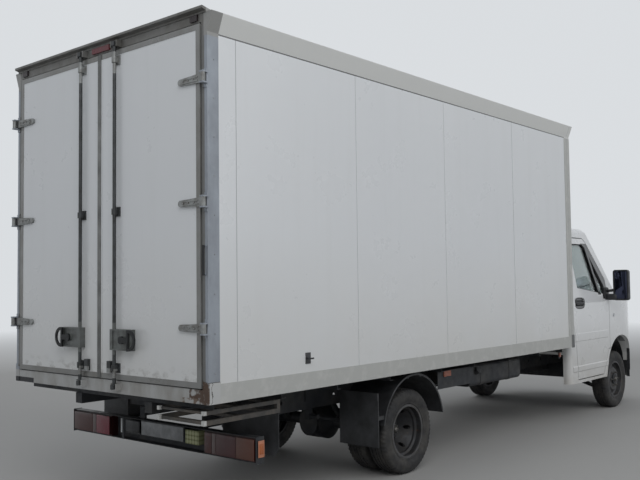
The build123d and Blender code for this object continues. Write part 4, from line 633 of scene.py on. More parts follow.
class TruckSettings(bpy.types.PropertyGroup):
    """Sizes and colours that a user may change."""
    floor_colour: bpy.props.FloatVectorProperty(
        name="Floor colour", description="Colour of the studio floor", subtype="COLOR",
        default=(0.46, 0.455, 0.44), min=0.0, max=1.0)
    wheel_nuts: bpy.props.IntProperty(
        name="Wheel nuts", description="Number of nuts on each wheel", default=6, min=3, max=12)
    rivet_pitch: bpy.props.FloatProperty(
        name="Rivet pitch", description="Distance between the rivets of the box", subtype="DISTANCE",
        default=0.24, min=0.02)
    key_power: bpy.props.FloatProperty(
        name="Key light", description="Strength of the large soft light", default=400.0, min=0.0)


def settings():
    """The truck's settings in this file."""
    return bpy.context.scene.truck_settings


NODE_FINISHES = (
    (white_panel, {}, ("box_wall_left", "box_wall_right", "box_front_wall", "box_roof",
                       "rear_door_left", "rear_door_right")),
    (white_paint, {"name": "shell_paint", "arch": True}, ("cab_shell", "front_fenders")),
    (white_paint, {"name": "door_paint", "door": True}, ("cab_door_left", "cab_door_right")),
    (white_paint, {"inner": False}, ("front_panel", "bonnet", "roof_deflector")),
    (unit_plastic, {}, ("refrigeration_unit",)),
    (edge_rail, {}, ("box_edge_rails",)),
    (frame_metal, {}, ("rear_frame",)),
    (galvanised, {}, ("box_floor",)),
    (lock_steel, {}, ("rear_door_lock_left", "rear_door_lock_right")),
    (ladder_steel, {}, ("step_ladder",)),
    (dark_metal, {}, ("chassis_frame", "box_subframe", "rear_axle", "front_suspension", "drive_line",
                      "fuel_tank", "knuckle_left", "knuckle_right", "rear_lamp_bar")),
    (wheel_paint, {}, ("front_rim_left", "front_rim_right", "rear_rim_left", "rear_rim_right")),
    (rubber, {}, ("front_tyre_left", "front_tyre_right", "rear_tyre_left", "rear_tyre_right")),
    (moulded_plastic, {}, ("mirror_left", "mirror_right", "rear_mudguards", "front_bumper", "dashboard")),
    (window_glass, {}, ("windscreen", "door_glass_left", "door_glass_right")),
    (lamp_glass, {}, ("lamps",)),
    (seat_cloth, {}, ("seats",)),
)


class TRUCK_OT_finishes(bpy.types.Operator):
    """Give every node of the frame its finish"""
    bl_idname = "truck.finishes"
    bl_label = "Finishes"

    def execute(self, context):
        for make, options, nodes in NODE_FINISHES:
            for node in nodes:
                dress(node, finish_of(make, **options))
        return {"FINISHED"}


# Repeats in Geometry Nodes

class Pattern:
    """A Geometry Nodes tree for a repeat, with named sizes, that gives plain meshes."""

    KINDS = {int: "NodeSocketInt", float: "NodeSocketFloat", tuple: "NodeSocketVector"}

    def __init__(self, name, **sizes):
        self.tree = bpy.data.node_groups.new(name, "GeometryNodeTree")
        self.tree.interface.new_socket("Geometry", in_out="OUTPUT", socket_type="NodeSocketGeometry")
        self.tree.interface.new_socket("Material", in_out="INPUT", socket_type="NodeSocketMaterial")
        for key, value in sizes.items():
            socket = self.tree.interface.new_socket(key, in_out="INPUT", socket_type=self.KINDS[type(value)])
            socket.default_value = value
        self.sizes = self.tree.nodes.new("NodeGroupInput").outputs
        self.result = self.tree.nodes.new("NodeGroupOutput").inputs["Geometry"]

    def add(self, kind, output, settings=(), **inputs):
        """One output of a new node; an input's spaces are written as underscores."""
        named = {key.replace("_", " "): value for key, value in inputs.items()}
        return add_node(self.tree, kind, named, **dict(settings))[output]

    def facing(self):
        """Rotation that turns the Z axis to where the heads face."""
        return self.add("FunctionNodeAlignRotationToVector", "Rotation", (("axis", "Z"),),
                        Vector=self.sizes["Facing"])

    def close(self, points):
        """Stand a tapered head on every point and end the tree with real geometry in one material."""
        head_taper = 0.62
        top = add_node(self.tree, "ShaderNodeMath", {0: self.sizes["Radius"], 1: head_taper},
                       operation="MULTIPLY")["Value"]
        head = self.add("GeometryNodeMeshCone", "Mesh", Vertices=self.sizes["Sides"], Radius_Top=top,
                        Radius_Bottom=self.sizes["Radius"], Depth=self.sizes["Height"])
        heads = self.add("GeometryNodeInstanceOnPoints", "Instances", Points=points, Instance=head,
                         Rotation=self.facing())
        real = self.add("GeometryNodeRealizeInstances", "Geometry", Geometry=heads)
        painted = self.add("GeometryNodeSetMaterial", "Geometry", Geometry=real,
                           Material=self.sizes["Material"])
        self.tree.links.new(painted, self.result)
        return self

    def mesh(self, material, **sizes):
        """Plain mesh of the tree at these sizes."""
        holder = bpy.data.objects.new("holder", bpy.data.meshes.new("holder"))
        bpy.context.scene.collection.objects.link(holder)
        modifier = holder.modifiers.new("pattern", "NODES")
        modifier.node_group = self.tree
        values = {"Material": material, **sizes}
        for item in self.tree.interface.items_tree:
            if item.in_out == "INPUT" and item.name in values:
                modifier[item.identifier] = values[item.name]
        ready = holder.evaluated_get(bpy.context.evaluated_depsgraph_get())
        made = bpy.data.meshes.new_from_object(ready)
        bpy.data.objects.remove(holder)
        return made


def fastener_row():
    """Row of domed heads that starts at a point, steps along, and faces one way."""
    row = Pattern("fastener_row", Start=(0.0, 0.0, 0.0), Step=(0.1, 0.0, 0.0), Count=4,
                  Facing=(0.0, 0.0, 1.0), Radius=0.004, Height=0.002, Sides=10)
    return row.close(row.add("GeometryNodeMeshLine", "Mesh", (("mode", "OFFSET"),), Count=row.sizes["Count"],
                             Start_Location=row.sizes["Start"], Offset=row.sizes["Step"]))


def fastener_ring():
    """Ring of heads round an axis."""
    ring = Pattern("fastener_ring", Centre=(0.0, 0.0, 0.0), Facing=(0.0, 1.0, 0.0), Circle=0.08, Count=6,
                   Radius=0.012, Height=0.015, Sides=6)
    circle = ring.add("GeometryNodeMeshCircle", "Mesh", Vertices=ring.sizes["Count"],
                      Radius=ring.sizes["Circle"])
    return ring.close(ring.add("GeometryNodeTransform", "Geometry", Geometry=circle,
                               Translation=ring.sizes["Centre"], Rotation=ring.facing()))


# Mesh helpers

def piece(name, mesh_maker, material, body, smooth=True):
    """Make a mesh object from a bmesh builder and let it ride on a body."""
    mesh = bmesh.new()
    mesh_maker(mesh)
    bmesh.ops.remove_doubles(mesh, verts=mesh.verts, dist=1e-6)
    bmesh.ops.recalc_face_normals(mesh, faces=mesh.faces)
    data = bpy.data.meshes.new(name)
    mesh.to_mesh(data)
    mesh.free()
    data.materials.append(material)
    made = bpy.data.objects.new(name, data)
    bpy.context.scene.collection.objects.link(made)
    if smooth:
        for polygon in data.polygons:
            polygon.use_smooth = True
    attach(made, body)
    return made


def gather(name, meshes, material, body, smooth=False):
    """Join plain meshes into one piece that rides on a body."""
    def joined(mesh):
        """All the meshes in one."""
        for source in meshes:
            mesh.from_mesh(source)
            bpy.data.meshes.remove(source)
    return piece(name, joined, material, body, smooth)


def block(name, first, second, edge, material, body="chassis"):
    """Piece that is a rounded box between two opposite corners."""
    return piece(name, lambda mesh: slab(mesh, first, second, edge), material, body)


def skin_rings(mesh, rings, closed=False):
    """Faces between rings of as many vertices; closed joins the last to the first, else both are capped."""
    pairs = list(zip(rings, rings[1:]))
    if closed:
        pairs.append((rings[-1], rings[0]))
    count = len(rings[0])
    for first, second in pairs:
        for k in range(count):
            mesh.faces.new((first[k], first[(k + 1) % count], second[(k + 1) % count], second[k]))
    if not closed:
        mesh.faces.new(rings[0])
        mesh.faces.new(list(reversed(rings[-1])))


def lathe(mesh, profile, centre, segments, lift=None):
    """Turn a profile of (y, radius) about the Y axis through a centre; lift may change a radius."""
    rings = []
    for number in range(segments):
        angle = 2 * pi * number / segments
        ring = []
        for y, radius in profile:
            if lift:
                radius += lift(number, y, radius)
            ring.append(mesh.verts.new((centre[0] + radius * cos(angle), centre[1] + y,
                                        centre[2] + radius * sin(angle))))
        rings.append(ring)
    for number, first in enumerate(rings):
        second = rings[(number + 1) % segments]
        for index in range(len(profile) - 1):
            mesh.faces.new((first[index], first[index + 1], second[index + 1], second[index]))


def tube(mesh, path, radius, sides=8, closed=False):
    """Round bar that follows points."""
    points = [Vector(point) for point in path]
    count = len(points)
    askew = Vector((0.31, 0.52, 0.8))
    turns = [2 * pi * k / sides for k in range(sides)]
    rings = []
    for index, point in enumerate(points):
        before = points[index - 1] if index or closed else point
        after = points[(index + 1) % count] if index + 1 < count or closed else point
        run = (after - before).normalized()
        side = run.cross(askew).normalized()
        other = run.cross(side)
        rings.append([mesh.verts.new(point + radius * (cos(turn) * side + sin(turn) * other))
                      for turn in turns])
    skin_rings(mesh, rings, closed)


def edges_of(vertices):
    """Edges that meet the vertices, each once and always in the same order."""
    return list(dict.fromkeys(edge for vertex in vertices for edge in vertex.link_edges))


def slab(mesh, first, second, edge=0.0):
    """Box between two opposite corners, with its edges rounded off."""
    first, second = Vector(first), Vector(second)
    made = bmesh.ops.create_cube(mesh, size=1.0)["verts"]
    for vertex in made:
        vertex.co = (first + second) / 2 + Vector(vertex.co[k] * abs(second[k] - first[k]) for k in range(3))
    if edge:
        bmesh.ops.bevel(mesh, geom=edges_of(made), offset=edge, segments=3, affect="EDGES", profile=0.5)


def cushion(mesh, first, second, lean=0.0, fullness=6.0):
    """Crowned closed pad between two opposite corners; lean moves its top rearwards."""
    first, second = Vector(first), Vector(second)
    before = len(mesh.verts)
    made = bmesh.ops.create_cube(mesh, size=2.0)["verts"]
    bmesh.ops.subdivide_edges(mesh, edges=edges_of(made), cuts=9, use_grid_fill=True)
    mesh.verts.ensure_lookup_table()
    half = Vector(abs(second[k] - first[k]) / 2 for k in range(3))
    for vertex in mesh.verts[before:]:
        reach = sum(abs(value) ** fullness for value in vertex.co) ** (1 / fullness)
        spot = vertex.co / reach
        vertex.co = (first + second) / 2 + Vector((half.x * spot.x - lean * (spot.z + 1) / 2, half.y * spot.y,
                                                   half.z * spot.z))


def loop(mesh, outline, radius):
    """Closed rubber cord through corner points, with its corners rounded."""
    rounded = []
    count = len(outline)
    largest_cut = 0.03
    for index, point in enumerate(outline):
        corner = Vector(point)
        before = Vector(outline[index - 1]) - corner
        after = Vector(outline[(index + 1) % count]) - corner
        cut = min(largest_cut, before.length * 0.4, after.length * 0.4)
        start = corner + cut * before.normalized()
        end = corner + cut * after.normalized()
        for share in (0.0, 0.25, 0.5, 0.75, 1.0):
            rounded.append((1 - share) ** 2 * start + 2 * share * (1 - share) * corner + share ** 2 * end)
    tube(mesh, rounded, radius, closed=True)


# Tyres with their tread: half of the section in millimetres, as (distance from the middle, radius)

TYRE_PROFILE = (
    (72.5, 206.0), (74.5, 214.0), (80.0, 220.0), (83.5, 226.0), (82.5, 232.0), (88.0, 246.0), (92.5, 260.0),
    (94.4, 272.0), (94.0, 284.0), (92.0, 296.0), (89.0, 308.0), (88.5, 312.0), (86.0, 322.0), (83.0, 330.0),
    (77.0, 336.5), (70.0, 340.0), (52.0, 341.7), (51.0, 334.5), (43.0, 334.5), (42.0, 342.0), (17.0, 342.0),
    (16.0, 334.5), (8.0, 334.5), (7.0, 342.0))
TYRE_PITCHES, TYRE_COLUMNS = 58, 4
SHOULDER_FROM, SHOULDER_RADIUS, SHOULDER_NOTCH, SHOULDER_FADE = 0.060, 0.318, 0.0065, 0.012
RIB_FROM, RIB_TO, RIB_RADIUS, RIB_NOTCH = 0.015, 0.045, 0.3400, 0.004


def wheel_body(end, name):
    """Body that the wheel or the twin wheels of a side turn on."""
    return f"front_wheel_{name}" if end == "front" else f"rear_wheels_{name}"


def tread_lift(number, y, radius):
    """How far a notch lowers the tread at a column: two columns of each pitch are notched."""
    if number % TYRE_COLUMNS < 2:
        return 0.0
    if abs(y) > SHOULDER_FROM and radius > SHOULDER_RADIUS:
        return -SHOULDER_NOTCH * min(1.0, (radius - SHOULDER_RADIUS) / SHOULDER_FADE)
    if RIB_FROM < abs(y) < RIB_TO and radius > RIB_RADIUS:
        return -RIB_NOTCH
    return 0.0


class TRUCK_OT_tyres(bpy.types.Operator):
    """Lay a grooved tread and ringed sidewalls over each tyre's carcass"""
    bl_idname = "truck.tyres"
    bl_label = "Tyres"

    def execute(self, context):
        half = [(y / 1000, radius / 1000) for y, radius in TYRE_PROFILE]
        profile = half + [(-y, radius) for y, radius in reversed(half)]
        profile.append(profile[0])
        for end, spacings in TWIN_SPACINGS.items():
            for name, _ in SIDES:
                node = f"{end}_tyre_{name}"
                centre = frame_centre(node)

                def carcass(mesh):
                    """The tyre, or both tyres of a twin wheel."""
                    for spacing in spacings:
                        lathe(mesh, profile, (centre.x, centre.y + spacing, centre.z),
                              TYRE_PITCHES * TYRE_COLUMNS, tread_lift)

                made = piece(f"{end}_tread_{name}", carcass, finish_of(rubber), wheel_body(end, name))
                made.data.set_sharp_from_angle(angle=radians(38))
                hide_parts(node)
        return {"FINISHED"}


# Wheel fasteners and hubs

NUT_CIRCLE, NUT_PROUD, STUD_PROUD, BOLT_PROUD = 0.088, 0.008, 0.012, 0.003
NUT = {"Circle": NUT_CIRCLE, "Radius": 0.0135, "Height": 0.018, "Sides": 6}
STUD = {"Circle": NUT_CIRCLE, "Radius": 0.0062, "Height": 0.016, "Sides": 10}
HUB_BOLT = {"Circle": 0.036, "Count": 8, "Radius": 0.0065, "Height": 0.007, "Sides": 6}
HUB_CAP = ((0.0, 0.026), (0.010, 0.0255), (0.019, 0.021), (0.024, 0.012), (0.0255, 0.0005))


class TRUCK_OT_wheel_fasteners(bpy.types.Operator):
    """Put nuts, hub bolts and a hub cap on every wheel"""
    bl_idname = "truck.wheel_fasteners"
    bl_label = "Wheel fasteners"

    def execute(self, context):
        ring = fastener_ring()
        steel = finish_of(galvanised, name="nut_steel", light=(0.13, 0.125, 0.12), dark=(0.07, 0.066, 0.062),
                          rust_top=0.2)
        count = settings().wheel_nuts
        for end, (disc_face, hub_face) in WHEEL_FACES.items():
            for name, side in SIDES:
                centre = frame_centre(f"{end}_rim_{name}")
                carrier = f"knuckle_{name}" if end == "front" else "chassis"

                def heads(y, **sizes):
                    """Ring of heads on a face of the wheel."""
                    return ring.mesh(steel, Centre=(centre.x, side * y, centre.z),
                                     Facing=(0.0, float(side), 0.0), **sizes)

                nuts = [heads(disc_face + NUT_PROUD, Count=count, **NUT),
                        heads(disc_face + NUT_PROUD + STUD_PROUD, Count=count, **STUD)]
                gather(f"{end}_nuts_{name}", nuts, steel, wheel_body(end, name))
                gather(f"{end}_hub_bolts_{name}", [heads(hub_face + BOLT_PROUD, **HUB_BOLT)], steel, carrier)
                profile = [(side * y, radius) for y, radius in HUB_CAP]
                piece(f"{end}_hub_cap_{name}",
                      lambda mesh: lathe(mesh, profile, (centre.x, side * hub_face, centre.z), 32), steel,
                      carrier)
        return {"FINISHED"}


# Rivets of the box

# Station and distance from the middle plane of each row
RIVET_ROWS = ((0.060, HALF_BOX + 0.001), (5.215, HALF_BOX + 0.005))
RIVETS_FROM, RIVETS_REACH = 1.02, 2.03
STRAP_BOLTS = (0.10, 0.15, 0.20)


class TRUCK_OT_rivets(bpy.types.Operator):
    """Set rivets along the corner posts and bolts on the door hinges"""
    bl_idname = "truck.rivets"
    bl_label = "Rivets"

    def execute(self, context):
        row = fastener_row()
        alloy = finish_of(galvanised, name="rivet_alloy", light=(0.46, 0.47, 0.48), dark=(0.34, 0.345, 0.35),
                          rust_top=0.2)
        pitch = settings().rivet_pitch
        rivets = [row.mesh(alloy, Start=(at(station), side * y, RIVETS_FROM), Facing=(0.0, float(side), 0.0),
                           Step=(0.0, 0.0, pitch), Count=int(RIVETS_REACH / pitch) + 1)
                  for _, side in SIDES for station, y in RIVET_ROWS]
        gather("box_rivets", rivets, alloy, "chassis", True)
        for name, side in SIDES:
            bolts = [row.mesh(alloy, Start=(at(STRAP_FACE), side * (HINGE_PIVOT - distance), z),
                              Facing=(-1.0, 0.0, 0.0), Step=(0.0, side * 0.01, 0.0), Count=1, Radius=0.0065,
                              Height=0.005)
                     for z in HINGE_HEIGHTS for distance in STRAP_BOLTS]
            gather(f"rear_door_rivets_{name}", bolts, alloy, f"rear_door_{name}", True)
        return {"FINISHED"}


# Rubber seals of the doors and windows

DOOR_SEAL_STATION, DOOR_SEAL_RADIUS, WINDOW_RUBBER_RADIUS = 0.010, 0.0026, 0.009


def door_glass_point(station, z, side):
    """Point on the side window's glass."""
    lean = (CAB_HALF - ROOF_HALF) / (SHOULDER_Z - BELT_Z)
    return (at(station), side * (CAB_HALF - WINDOW_INSET - lean * (z - BELT_Z)), z)


class TRUCK_OT_seals(bpy.types.Operator):
    """Lay the rubber seals round the rear doors and the side windows, and between the rear doors"""
    bl_idname = "truck.seals"
    bl_label = "Seals"

    def execute(self, context):
        black = finish_of(moulded_plastic, name="seal_rubber", colour=(0.014, 0.014, 0.015), gloss=0.55)
        inner, outer, low, high = 0.0055, DOOR_EDGE + 0.0028, DOOR_BOTTOM - 0.0032, DOOR_TOP + 0.0032
        for name, side in SIDES:
            outline = [(at(DOOR_SEAL_STATION), side * y, z)
                       for y, z in ((inner, low), (outer, low), (outer, high), (inner, high))]
            piece(f"rear_door_seal_{name}", lambda mesh: loop(mesh, outline, DOOR_SEAL_RADIUS), black,
                  f"rear_door_{name}")
            window = [door_glass_point(station, z, side) for station, z in WINDOW]
            piece(f"window_rubber_{name}", lambda mesh: loop(mesh, window, WINDOW_RUBBER_RADIUS), black,
                  f"cab_door_{name}")
        grey = finish_of(moulded_plastic, name="centre_seal", colour=(0.13, 0.132, 0.128), gloss=0.5)
        block("rear_door_centre_seal", (at(-0.0105), -0.017, DOOR_BOTTOM + 0.002),
              (at(-0.0035), 0.017, DOOR_TOP - 0.002), 0.002, grey, "rear_door_left")
        return {"FINISHED"}


# Lamps: ribbed lens plates, turn lamps, the blank plate and its lights

LENS_COLOURS = {
    "dark_red_lens": (0.095, 0.012, 0.008), "pale_lens": (0.20, 0.135, 0.130),
    "pink_lens": (0.30, 0.022, 0.050), "red_lens": (0.085, 0.010, 0.012), "amber_lens": (0.14, 0.036, 0.014),
    "end_lens": (0.62, 0.16, 0.03), "turn_lens": (0.60, 0.24, 0.05)}
# Name, edges and kind of each lens on the lamp bar
TAIL_LENSES = (
    ("tail_outer_left", 0.768, 1.018, "dark_red_lens"), ("tail_strip_left", 0.722, 0.764, "pale_lens"),
    ("tail_inner_left", 0.549, 0.718, "pink_lens"), ("tail_inner_right", -0.541, -0.612, "dark_red_lens"),
    ("tail_strip_right", -0.616, -0.652, "pale_lens"), ("tail_middle_right", -0.656, -0.846, "red_lens"),
    ("tail_outer_right", -0.850, -1.018, "amber_lens"))
LENS_HEIGHTS = (0.4185, 0.5555)
LAMP_CORNER = 0.905


def turn_lamp(mesh, side):
    """Amber lamp that follows the nose's corner beside a headlamp."""
    rings = []
    for station, y in NOSE_CORNER:
        low = 0.803 - 0.216 * (LAMP_CORNER - y)
        high = 0.982 - 0.064 * (LAMP_CORNER - y)
        section = ((0.003, low), (0.002, (low + high) / 2), (0.003, high), (0.030, high), (0.030, low))
        rings.append([mesh.verts.new((at(station), side * (y - inset), z)) for inset, z in section])
    skin_rings(mesh, rings)


def door_retainer(mesh, side):
    """Plate on a side wall with the hook that holds the opened rear door."""
    wall, z = side * (HALF_BOX - 0.002), 1.050
    slab(mesh, (at(0.880), wall, 1.012), (at(0.932), wall + side * 0.006, 1.088), 0.0015)
    hook = ((0.890, 0.004), (0.890, 0.034), (0.912, 0.044), (0.924, 0.036))
    tube(mesh, [(at(station), wall + side * proud, z) for station, proud in hook], 0.006)


class TRUCK_OT_lamp_details(bpy.types.Operator):
    """Cover the lamps with ribbed lenses, hang the blank plate and set the door retainers"""
    bl_idname = "truck.lamp_details"
    bl_label = "Lamps and plate"

    def execute(self, context):
        def lens_of(kind):
            """Lens finish of a kind."""
            return finish_of(lens, name=kind, colour=LENS_COLOURS[kind])

        def plastic_of(kind, colour, gloss):
            """Coloured plastic finish."""
            return finish_of(moulded_plastic, name=kind, colour=colour, gloss=gloss)

        def rear(proud):
            """X coordinate that stands proud of the lamp bar's rear face."""
            return at(LAMP_BAR_REAR - proud)

        black = finish_of(moulded_plastic)
        for name, first, second, kind in TAIL_LENSES:
            block(name, (rear(0.0065), first, LENS_HEIGHTS[0]), (rear(0.0125), second, LENS_HEIGHTS[1]),
                  0.0025, lens_of(kind))
        for name, side in SIDES:
            block(f"end_lens_{name}", (at(0.490), side * LAMP_BAR_END, 0.460),
                  (at(0.526), side * (LAMP_BAR_END + 0.006), 0.528), 0.003, lens_of("end_lens"))
        for name, side in SIDES:
            block(f"end_frame_{name}", (at(0.480), side * LAMP_BAR_END, 0.440),
                  (at(0.536), side * (LAMP_BAR_END + 0.003), 0.548), 0.0012,
                  plastic_of("faded_orange", (0.30, 0.12, 0.065), 0.4))
        block("lamp_bracket", (rear(0.004), 0.395, 0.452), (rear(-0.004), 0.412, 0.556), 0.001,
              plastic_of("pale_bracket", (0.40, 0.41, 0.41), 0.4))
        for name, side in SIDES:
            piece(f"door_retainer_{name}", lambda mesh: door_retainer(mesh, side), black, "chassis")
        for name, side in SIDES:
            piece(f"turn_lamp_{name}", lambda mesh: turn_lamp(mesh, side), lens_of("turn_lens"), "chassis",
                  smooth=False)
        block("blank_plate", (rear(0.010), -0.315, 0.463), (rear(0.005), 0.154, 0.560), 0.002,
              plastic_of("blank_plate", (0.17, 0.175, 0.18), 0.30))
        block("plate_holder", (rear(0.005), -0.322, 0.456), (rear(-0.001), 0.161, 0.567), 0.002, black)
        block("work_lamp", (rear(0.012), 0.180, 0.468), (rear(-0.002), 0.345, 0.556), 0.010, black)
        return {"FINISHED"}


# Cab trim: mirror glass, handles, window bars, wipers and the windscreen's seal

# Pivot, tip and length of each wiper, and the seal's points at two distances along the windscreen
WIPERS = ((0.56, -0.02, 0.66), (-0.16, -0.66, 0.60))
SCREEN_SEAL_ENDS = ((0.068, (-0.895, -0.45, 0.0, 0.45, 0.895)), (0.964, (0.772, 0.4, 0.0, -0.4, -0.772)))


def screen_point(y, along, proud):
    """Point on the windscreen, along its slope from the bottom and proud of it."""
    run = Vector((SCREEN_TOP[0] - SCREEN_BOTTOM[0], SCREEN_TOP[1] - SCREEN_BOTTOM[1]))
    slope = run.normalized()
    bow = SCREEN_BOW * (y / SCREEN_BOW_AT) ** 2
    depth = proud - bow - SCREEN_INSET
    x = SCREEN_BOTTOM[0] + along * slope.x + depth * slope.y
    z = SCREEN_BOTTOM[1] + along * slope.y - depth * slope.x
    return (at(x), y, z)


def rounded_power(value, power=0.6):
    """Value between -1 and 1 pushed outwards, which squares a circle off."""
    return abs(value) ** power * (1 if value > 0 else -1)


def door_handle(mesh, side):
    """Grab bar in the oval recess of a cab door, with the recess's rim and its base plate."""
    proud, foot = side * (CAB_HALF + 0.0035), side * 1.026
    half_length, half_height, steps = 0.122, 0.060, 28
    bar = ((5.487, foot, 0.0), (5.497, proud, 0.0), (5.540, proud, 0.002), (5.650, proud, 0.002),
           (5.693, proud, 0.0), (5.703, foot, 0.0))
    tube(mesh, [(at(station), y, BELT_Z + rise) for station, y, rise in bar], 0.011)
    angles = [2 * pi * number / steps for number in range(steps)]
    rim = [(at(HANDLE_STATION) + half_length * rounded_power(cos(angle)), side * (CAB_HALF + 0.0005),
            BELT_Z + half_height * rounded_power(sin(angle))) for angle in angles]
    tube(mesh, rim, 0.0035, 6, closed=True)
    slab(mesh, (at(5.475), side * 1.0195, 1.268), (at(5.715), side * 1.0205, 1.332))


def mirror_foot(mesh, side):
    """Two arms of a mirror and the moulded foot that carries them."""
    for heights in ((1.345, 1.352, 1.365), (1.420, 1.428, 1.440)):
        arm = [(at(MIRROR_STATION), side * y, z) for y, z in zip((0.985, 1.06, 1.14), heights)]
        tube(mesh, arm, 0.0165, 12)
    cushion(mesh, (at(6.330), side * 0.990, 1.315), (at(6.455), side * 1.036, 1.470), fullness=5.0)
    cushion(mesh, (at(6.352), side * 1.020, 1.318), (at(6.438), side * 1.165, 1.392), fullness=4.0)


def wipers(mesh):
    """Two wipers: an arm from its pivot to the blade, and the blade on the glass."""
    for pivot, tip, length in WIPERS:
        middle = (pivot + tip) / 2
        tube(mesh, [screen_point(pivot, 0.02, 0.020), screen_point(pivot - 0.04, 0.07, 0.030),
                    screen_point(middle, 0.30 * length, 0.026),
                    screen_point(tip + 0.08, 0.42 * length, 0.018)], 0.007)
        tube(mesh, [screen_point(pivot - 0.06, 0.05, 0.012), screen_point(middle, 0.26 * length, 0.012),
                    screen_point(tip - 0.04, 0.52 * length, 0.012)], 0.006)


def screen_seal(mesh):
    """Rubber round the windscreen, flush with the glass."""
    tube(mesh, [screen_point(y, along, 0.002) for along, places in SCREEN_SEAL_ENDS for y in places], 0.010,
         closed=True)


class TRUCK_OT_cab_trim(bpy.types.Operator):
    """Fit mirror glass and feet, door handles, window bars, wipers and the windscreen's seal"""
    bl_idname = "truck.cab_trim"
    bl_label = "Cab trim"

    def execute(self, context):
        black = finish_of(moulded_plastic)
        silver = finish_of(mirror_silver)
        for name, side in SIDES:
            body = f"cab_door_{name}"
            block(f"mirror_glass_{name}", (at(6.3635), side * 1.139, 1.334),
                  (at(6.3665), side * 1.281, 1.656), 0.001, silver, body)
            piece(f"door_handle_{name}", lambda mesh: door_handle(mesh, side), black, body)
            bar = [door_glass_point(*end, side) for end in (PILLAR_FOOT, PILLAR_HEAD)]
            piece(f"window_bar_{name}", lambda mesh: tube(mesh, bar, 0.016, 10), black, body)
            piece(f"mirror_foot_{name}", lambda mesh: mirror_foot(mesh, side), black, body)
        piece("wipers", wipers, black, "chassis")
        piece("windscreen_seal", screen_seal, finish_of(moulded_plastic, name="seal_rubber"), "chassis")
        return {"FINISHED"}


# Seats

def seat_pads(mesh):
    """Cushion, backrest and headrest of each seat."""
    for low, high in SEATS:
        middle = (low + high) / 2
        cushion(mesh, (at(5.790), low, 0.955), (at(6.270), high, 1.130))
        cushion(mesh, (at(5.795), low + 0.01, 1.02), (at(5.915), high - 0.01, 1.630), lean=0.115)
        cushion(mesh, (at(5.676), middle - 0.13, 1.640), (at(5.756), middle + 0.13, 1.808), fullness=4.0)


def seat_bases(mesh):
    """Box under each seat, and the two rods of its headrest."""
    for low, high in SEATS:
        slab(mesh, (at(5.800), low + 0.03, 0.776), (at(6.225), high - 0.03, 0.962), 0.015)
        for y in ((low + high) / 2 - 0.06, (low + high) / 2 + 0.06):
            tube(mesh, [(at(5.715), y, 1.58), (at(5.716), y, 1.70)], 0.007)


class TRUCK_OT_seats(bpy.types.Operator):
    """Upholster the driver's seat and the double seat beside it"""
    bl_idname = "truck.seats"
    bl_label = "Seats"

    def execute(self, context):
        upholstery = piece("seat_pads", seat_pads, finish_of(seat_cloth), "chassis")
        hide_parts("seats")
        piece("seat_bases", seat_bases, finish_of(moulded_plastic), "chassis")
        return {"FINISHED"}


# Stage: floor, lights, background and the camera of the photograph's viewpoint

CAMERA_STATION, CAMERA_Y, CAMERA_Z = -3.3214, -4.8336, 1.5583
CAMERA_YAW, CAMERA_PITCH, CAMERA_ROLL = 0.7072, 0.0525, -0.0119
FOCAL_PIXELS, FRAME_WIDTH, SENSOR_WIDTH = 822.9, 640, 36.0
BACKGROUND, SKYLIGHT, SKYLIGHT_STRENGTH = (0.70, 0.725, 0.75), (0.90, 0.94, 1.0), 0.36
FLOOR_REACH, HAZE_FROM, HAZE_FULL = 60.0, 9.0, 24.0
# Name, place, aimed at, size, share of the key light's power
LIGHTS = (("key", (-9.0, -8.0, 9.0), (0, 0, 1.2), 7.0, 1.0),
          ("fill", (3.0, -12.0, 6.0), (1, 0, 1.2), 8.0, 0.55),
          ("far", (6.0, 10.0, 8.0), (0, 0, 1.2), 8.0, 0.5))


def add_camera():
    """Camera turned by yaw from the truck's heading, then pitch and roll."""
    forward = Vector((cos(CAMERA_YAW) * cos(CAMERA_PITCH), sin(CAMERA_YAW) * cos(CAMERA_PITCH),
                      sin(CAMERA_PITCH)))
    level = Vector((sin(CAMERA_YAW), -cos(CAMERA_YAW), 0))
    above = level.cross(forward)
    right = cos(CAMERA_ROLL) * level + sin(CAMERA_ROLL) * above
    up = -sin(CAMERA_ROLL) * level + cos(CAMERA_ROLL) * above
    data = bpy.data.cameras.new("camera")
    data.sensor_width = SENSOR_WIDTH
    data.lens = FOCAL_PIXELS / FRAME_WIDTH * SENSOR_WIDTH
    camera = bpy.data.objects.new("camera", data)
    bpy.context.scene.collection.objects.link(camera)
    turn = Matrix((right, up, -forward)).transposed().to_4x4()
    camera.matrix_world = Matrix.Translation((at(CAMERA_STATION), CAMERA_Y, CAMERA_Z)) @ turn
    bpy.context.scene.camera = camera


def add_area(name, place, target, size, power):
    """Soft square light aimed at a point."""
    data = bpy.data.lights.new(name, "AREA")
    data.size = size
    data.energy = power
    light = bpy.data.objects.new(name, data)
    bpy.context.scene.collection.objects.link(light)
    aim = Vector(target) - Vector(place)
    light.matrix_world = Matrix.Translation(place) @ aim.to_track_quat("-Z", "Y").to_matrix().to_4x4()


def studio_floor():
    """Plain floor finish that fades into the background's colour far out."""
    floor = Finish("studio_floor")
    colour = tuple(settings().floor_colour)
    floor.colour(floor.mix(floor.noise(0.8, 4), colour, tuple(0.96 * channel for channel in colour)))
    floor.set(Roughness=0.85)
    distance = floor.add("ShaderNodeVectorMath", {0: floor.coords}, "Value", operation="LENGTH")
    haze = floor.add("ShaderNodeEmission", {"Color": BACKGROUND}, "Emission")
    share = floor.spread(distance, HAZE_FROM, HAZE_FULL)
    blend_shaders(floor.tree, share, floor.shader.outputs["BSDF"], haze, "Material Output")
    return floor.material


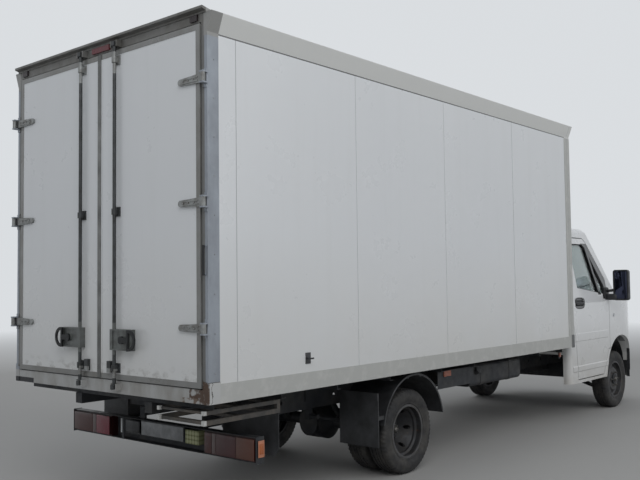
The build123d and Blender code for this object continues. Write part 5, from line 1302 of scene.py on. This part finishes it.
def add_world():
    """Background that the camera, gloss and glass see, and a weaker sky that lights the truck."""
    world = bpy.data.worlds.new("studio")
    world.use_nodes = True
    bpy.context.scene.world = world
    tree = world.node_tree
    shown = tree.nodes["Background"]
    feed(tree, shown.inputs["Color"], BACKGROUND)
    shown.inputs["Strength"].default_value = 1.0
    sky = add_node(tree, "ShaderNodeBackground",
                   {"Color": SKYLIGHT, "Strength": SKYLIGHT_STRENGTH})["Background"]
    path = add_node(tree, "ShaderNodeLightPath", {})
    seen = path["Is Camera Ray"]
    for ray in ("Is Glossy Ray", "Is Transmission Ray"):
        seen = add_node(tree, "ShaderNodeMath", {0: seen, 1: path[ray]}, operation="MAXIMUM")["Value"]
    blend_shaders(tree, seen, sky, shown.outputs["Background"], "World Output")


class TRUCK_OT_stage(bpy.types.Operator):
    """Set the floor, the soft lights, the pale background and the camera"""
    bl_idname = "truck.stage"
    bl_label = "Stage"

    def execute(self, context):
        data = bpy.data.meshes.new("floor")
        corners = ((-1, -1), (1, -1), (1, 1), (-1, 1))
        data.from_pydata([(x * FLOOR_REACH, y * FLOOR_REACH, ROAD) for x, y in corners], [], [(0, 1, 2, 3)])
        data.materials.append(studio_floor())
        floor = bpy.data.objects.new("floor", data)
        context.scene.collection.objects.link(floor)
        for name, place, target, size, share in LIGHTS:
            add_area(name, place, target, size, share * settings().key_power)
        add_world()
        context.scene.view_settings.view_transform = "Standard"
        add_camera()
        return {"FINISHED"}


# Add-on layout

OPERATORS = (TRUCK_OT_finishes, TRUCK_OT_tyres, TRUCK_OT_wheel_fasteners, TRUCK_OT_rivets,
             TRUCK_OT_seals, TRUCK_OT_lamp_details, TRUCK_OT_cab_trim, TRUCK_OT_seats,
             TRUCK_OT_stage)


class TRUCK_PT_panel(bpy.types.Panel):
    """Lists the truck's operators and settings"""
    bl_idname = "TRUCK_PT_panel"
    bl_label = "Refrigerated truck"
    bl_space_type = "VIEW_3D"
    bl_region_type = "UI"
    bl_category = "Truck"

    def draw(self, context):
        for name in TruckSettings.__annotations__:
            self.layout.prop(context.scene.truck_settings, name)
        for operator in OPERATORS:
            self.layout.operator(operator.bl_idname)


CLASSES = (TruckSettings, *OPERATORS, TRUCK_PT_panel)


def register():
    """Add the classes and the scene's settings."""
    for each in CLASSES:
        bpy.utils.register_class(each)
    bpy.types.Scene.truck_settings = bpy.props.PointerProperty(type=TruckSettings)


def unregister():
    """Take the classes and the settings away again."""
    del bpy.types.Scene.truck_settings
    for each in reversed(CLASSES):
        bpy.utils.unregister_class(each)


def main():
    """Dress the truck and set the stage."""
    register()
    for operator in OPERATORS:
        group, action = operator.bl_idname.split(".")
        getattr(getattr(bpy.ops, group), action)()


if __name__ == "__main__":
    main()
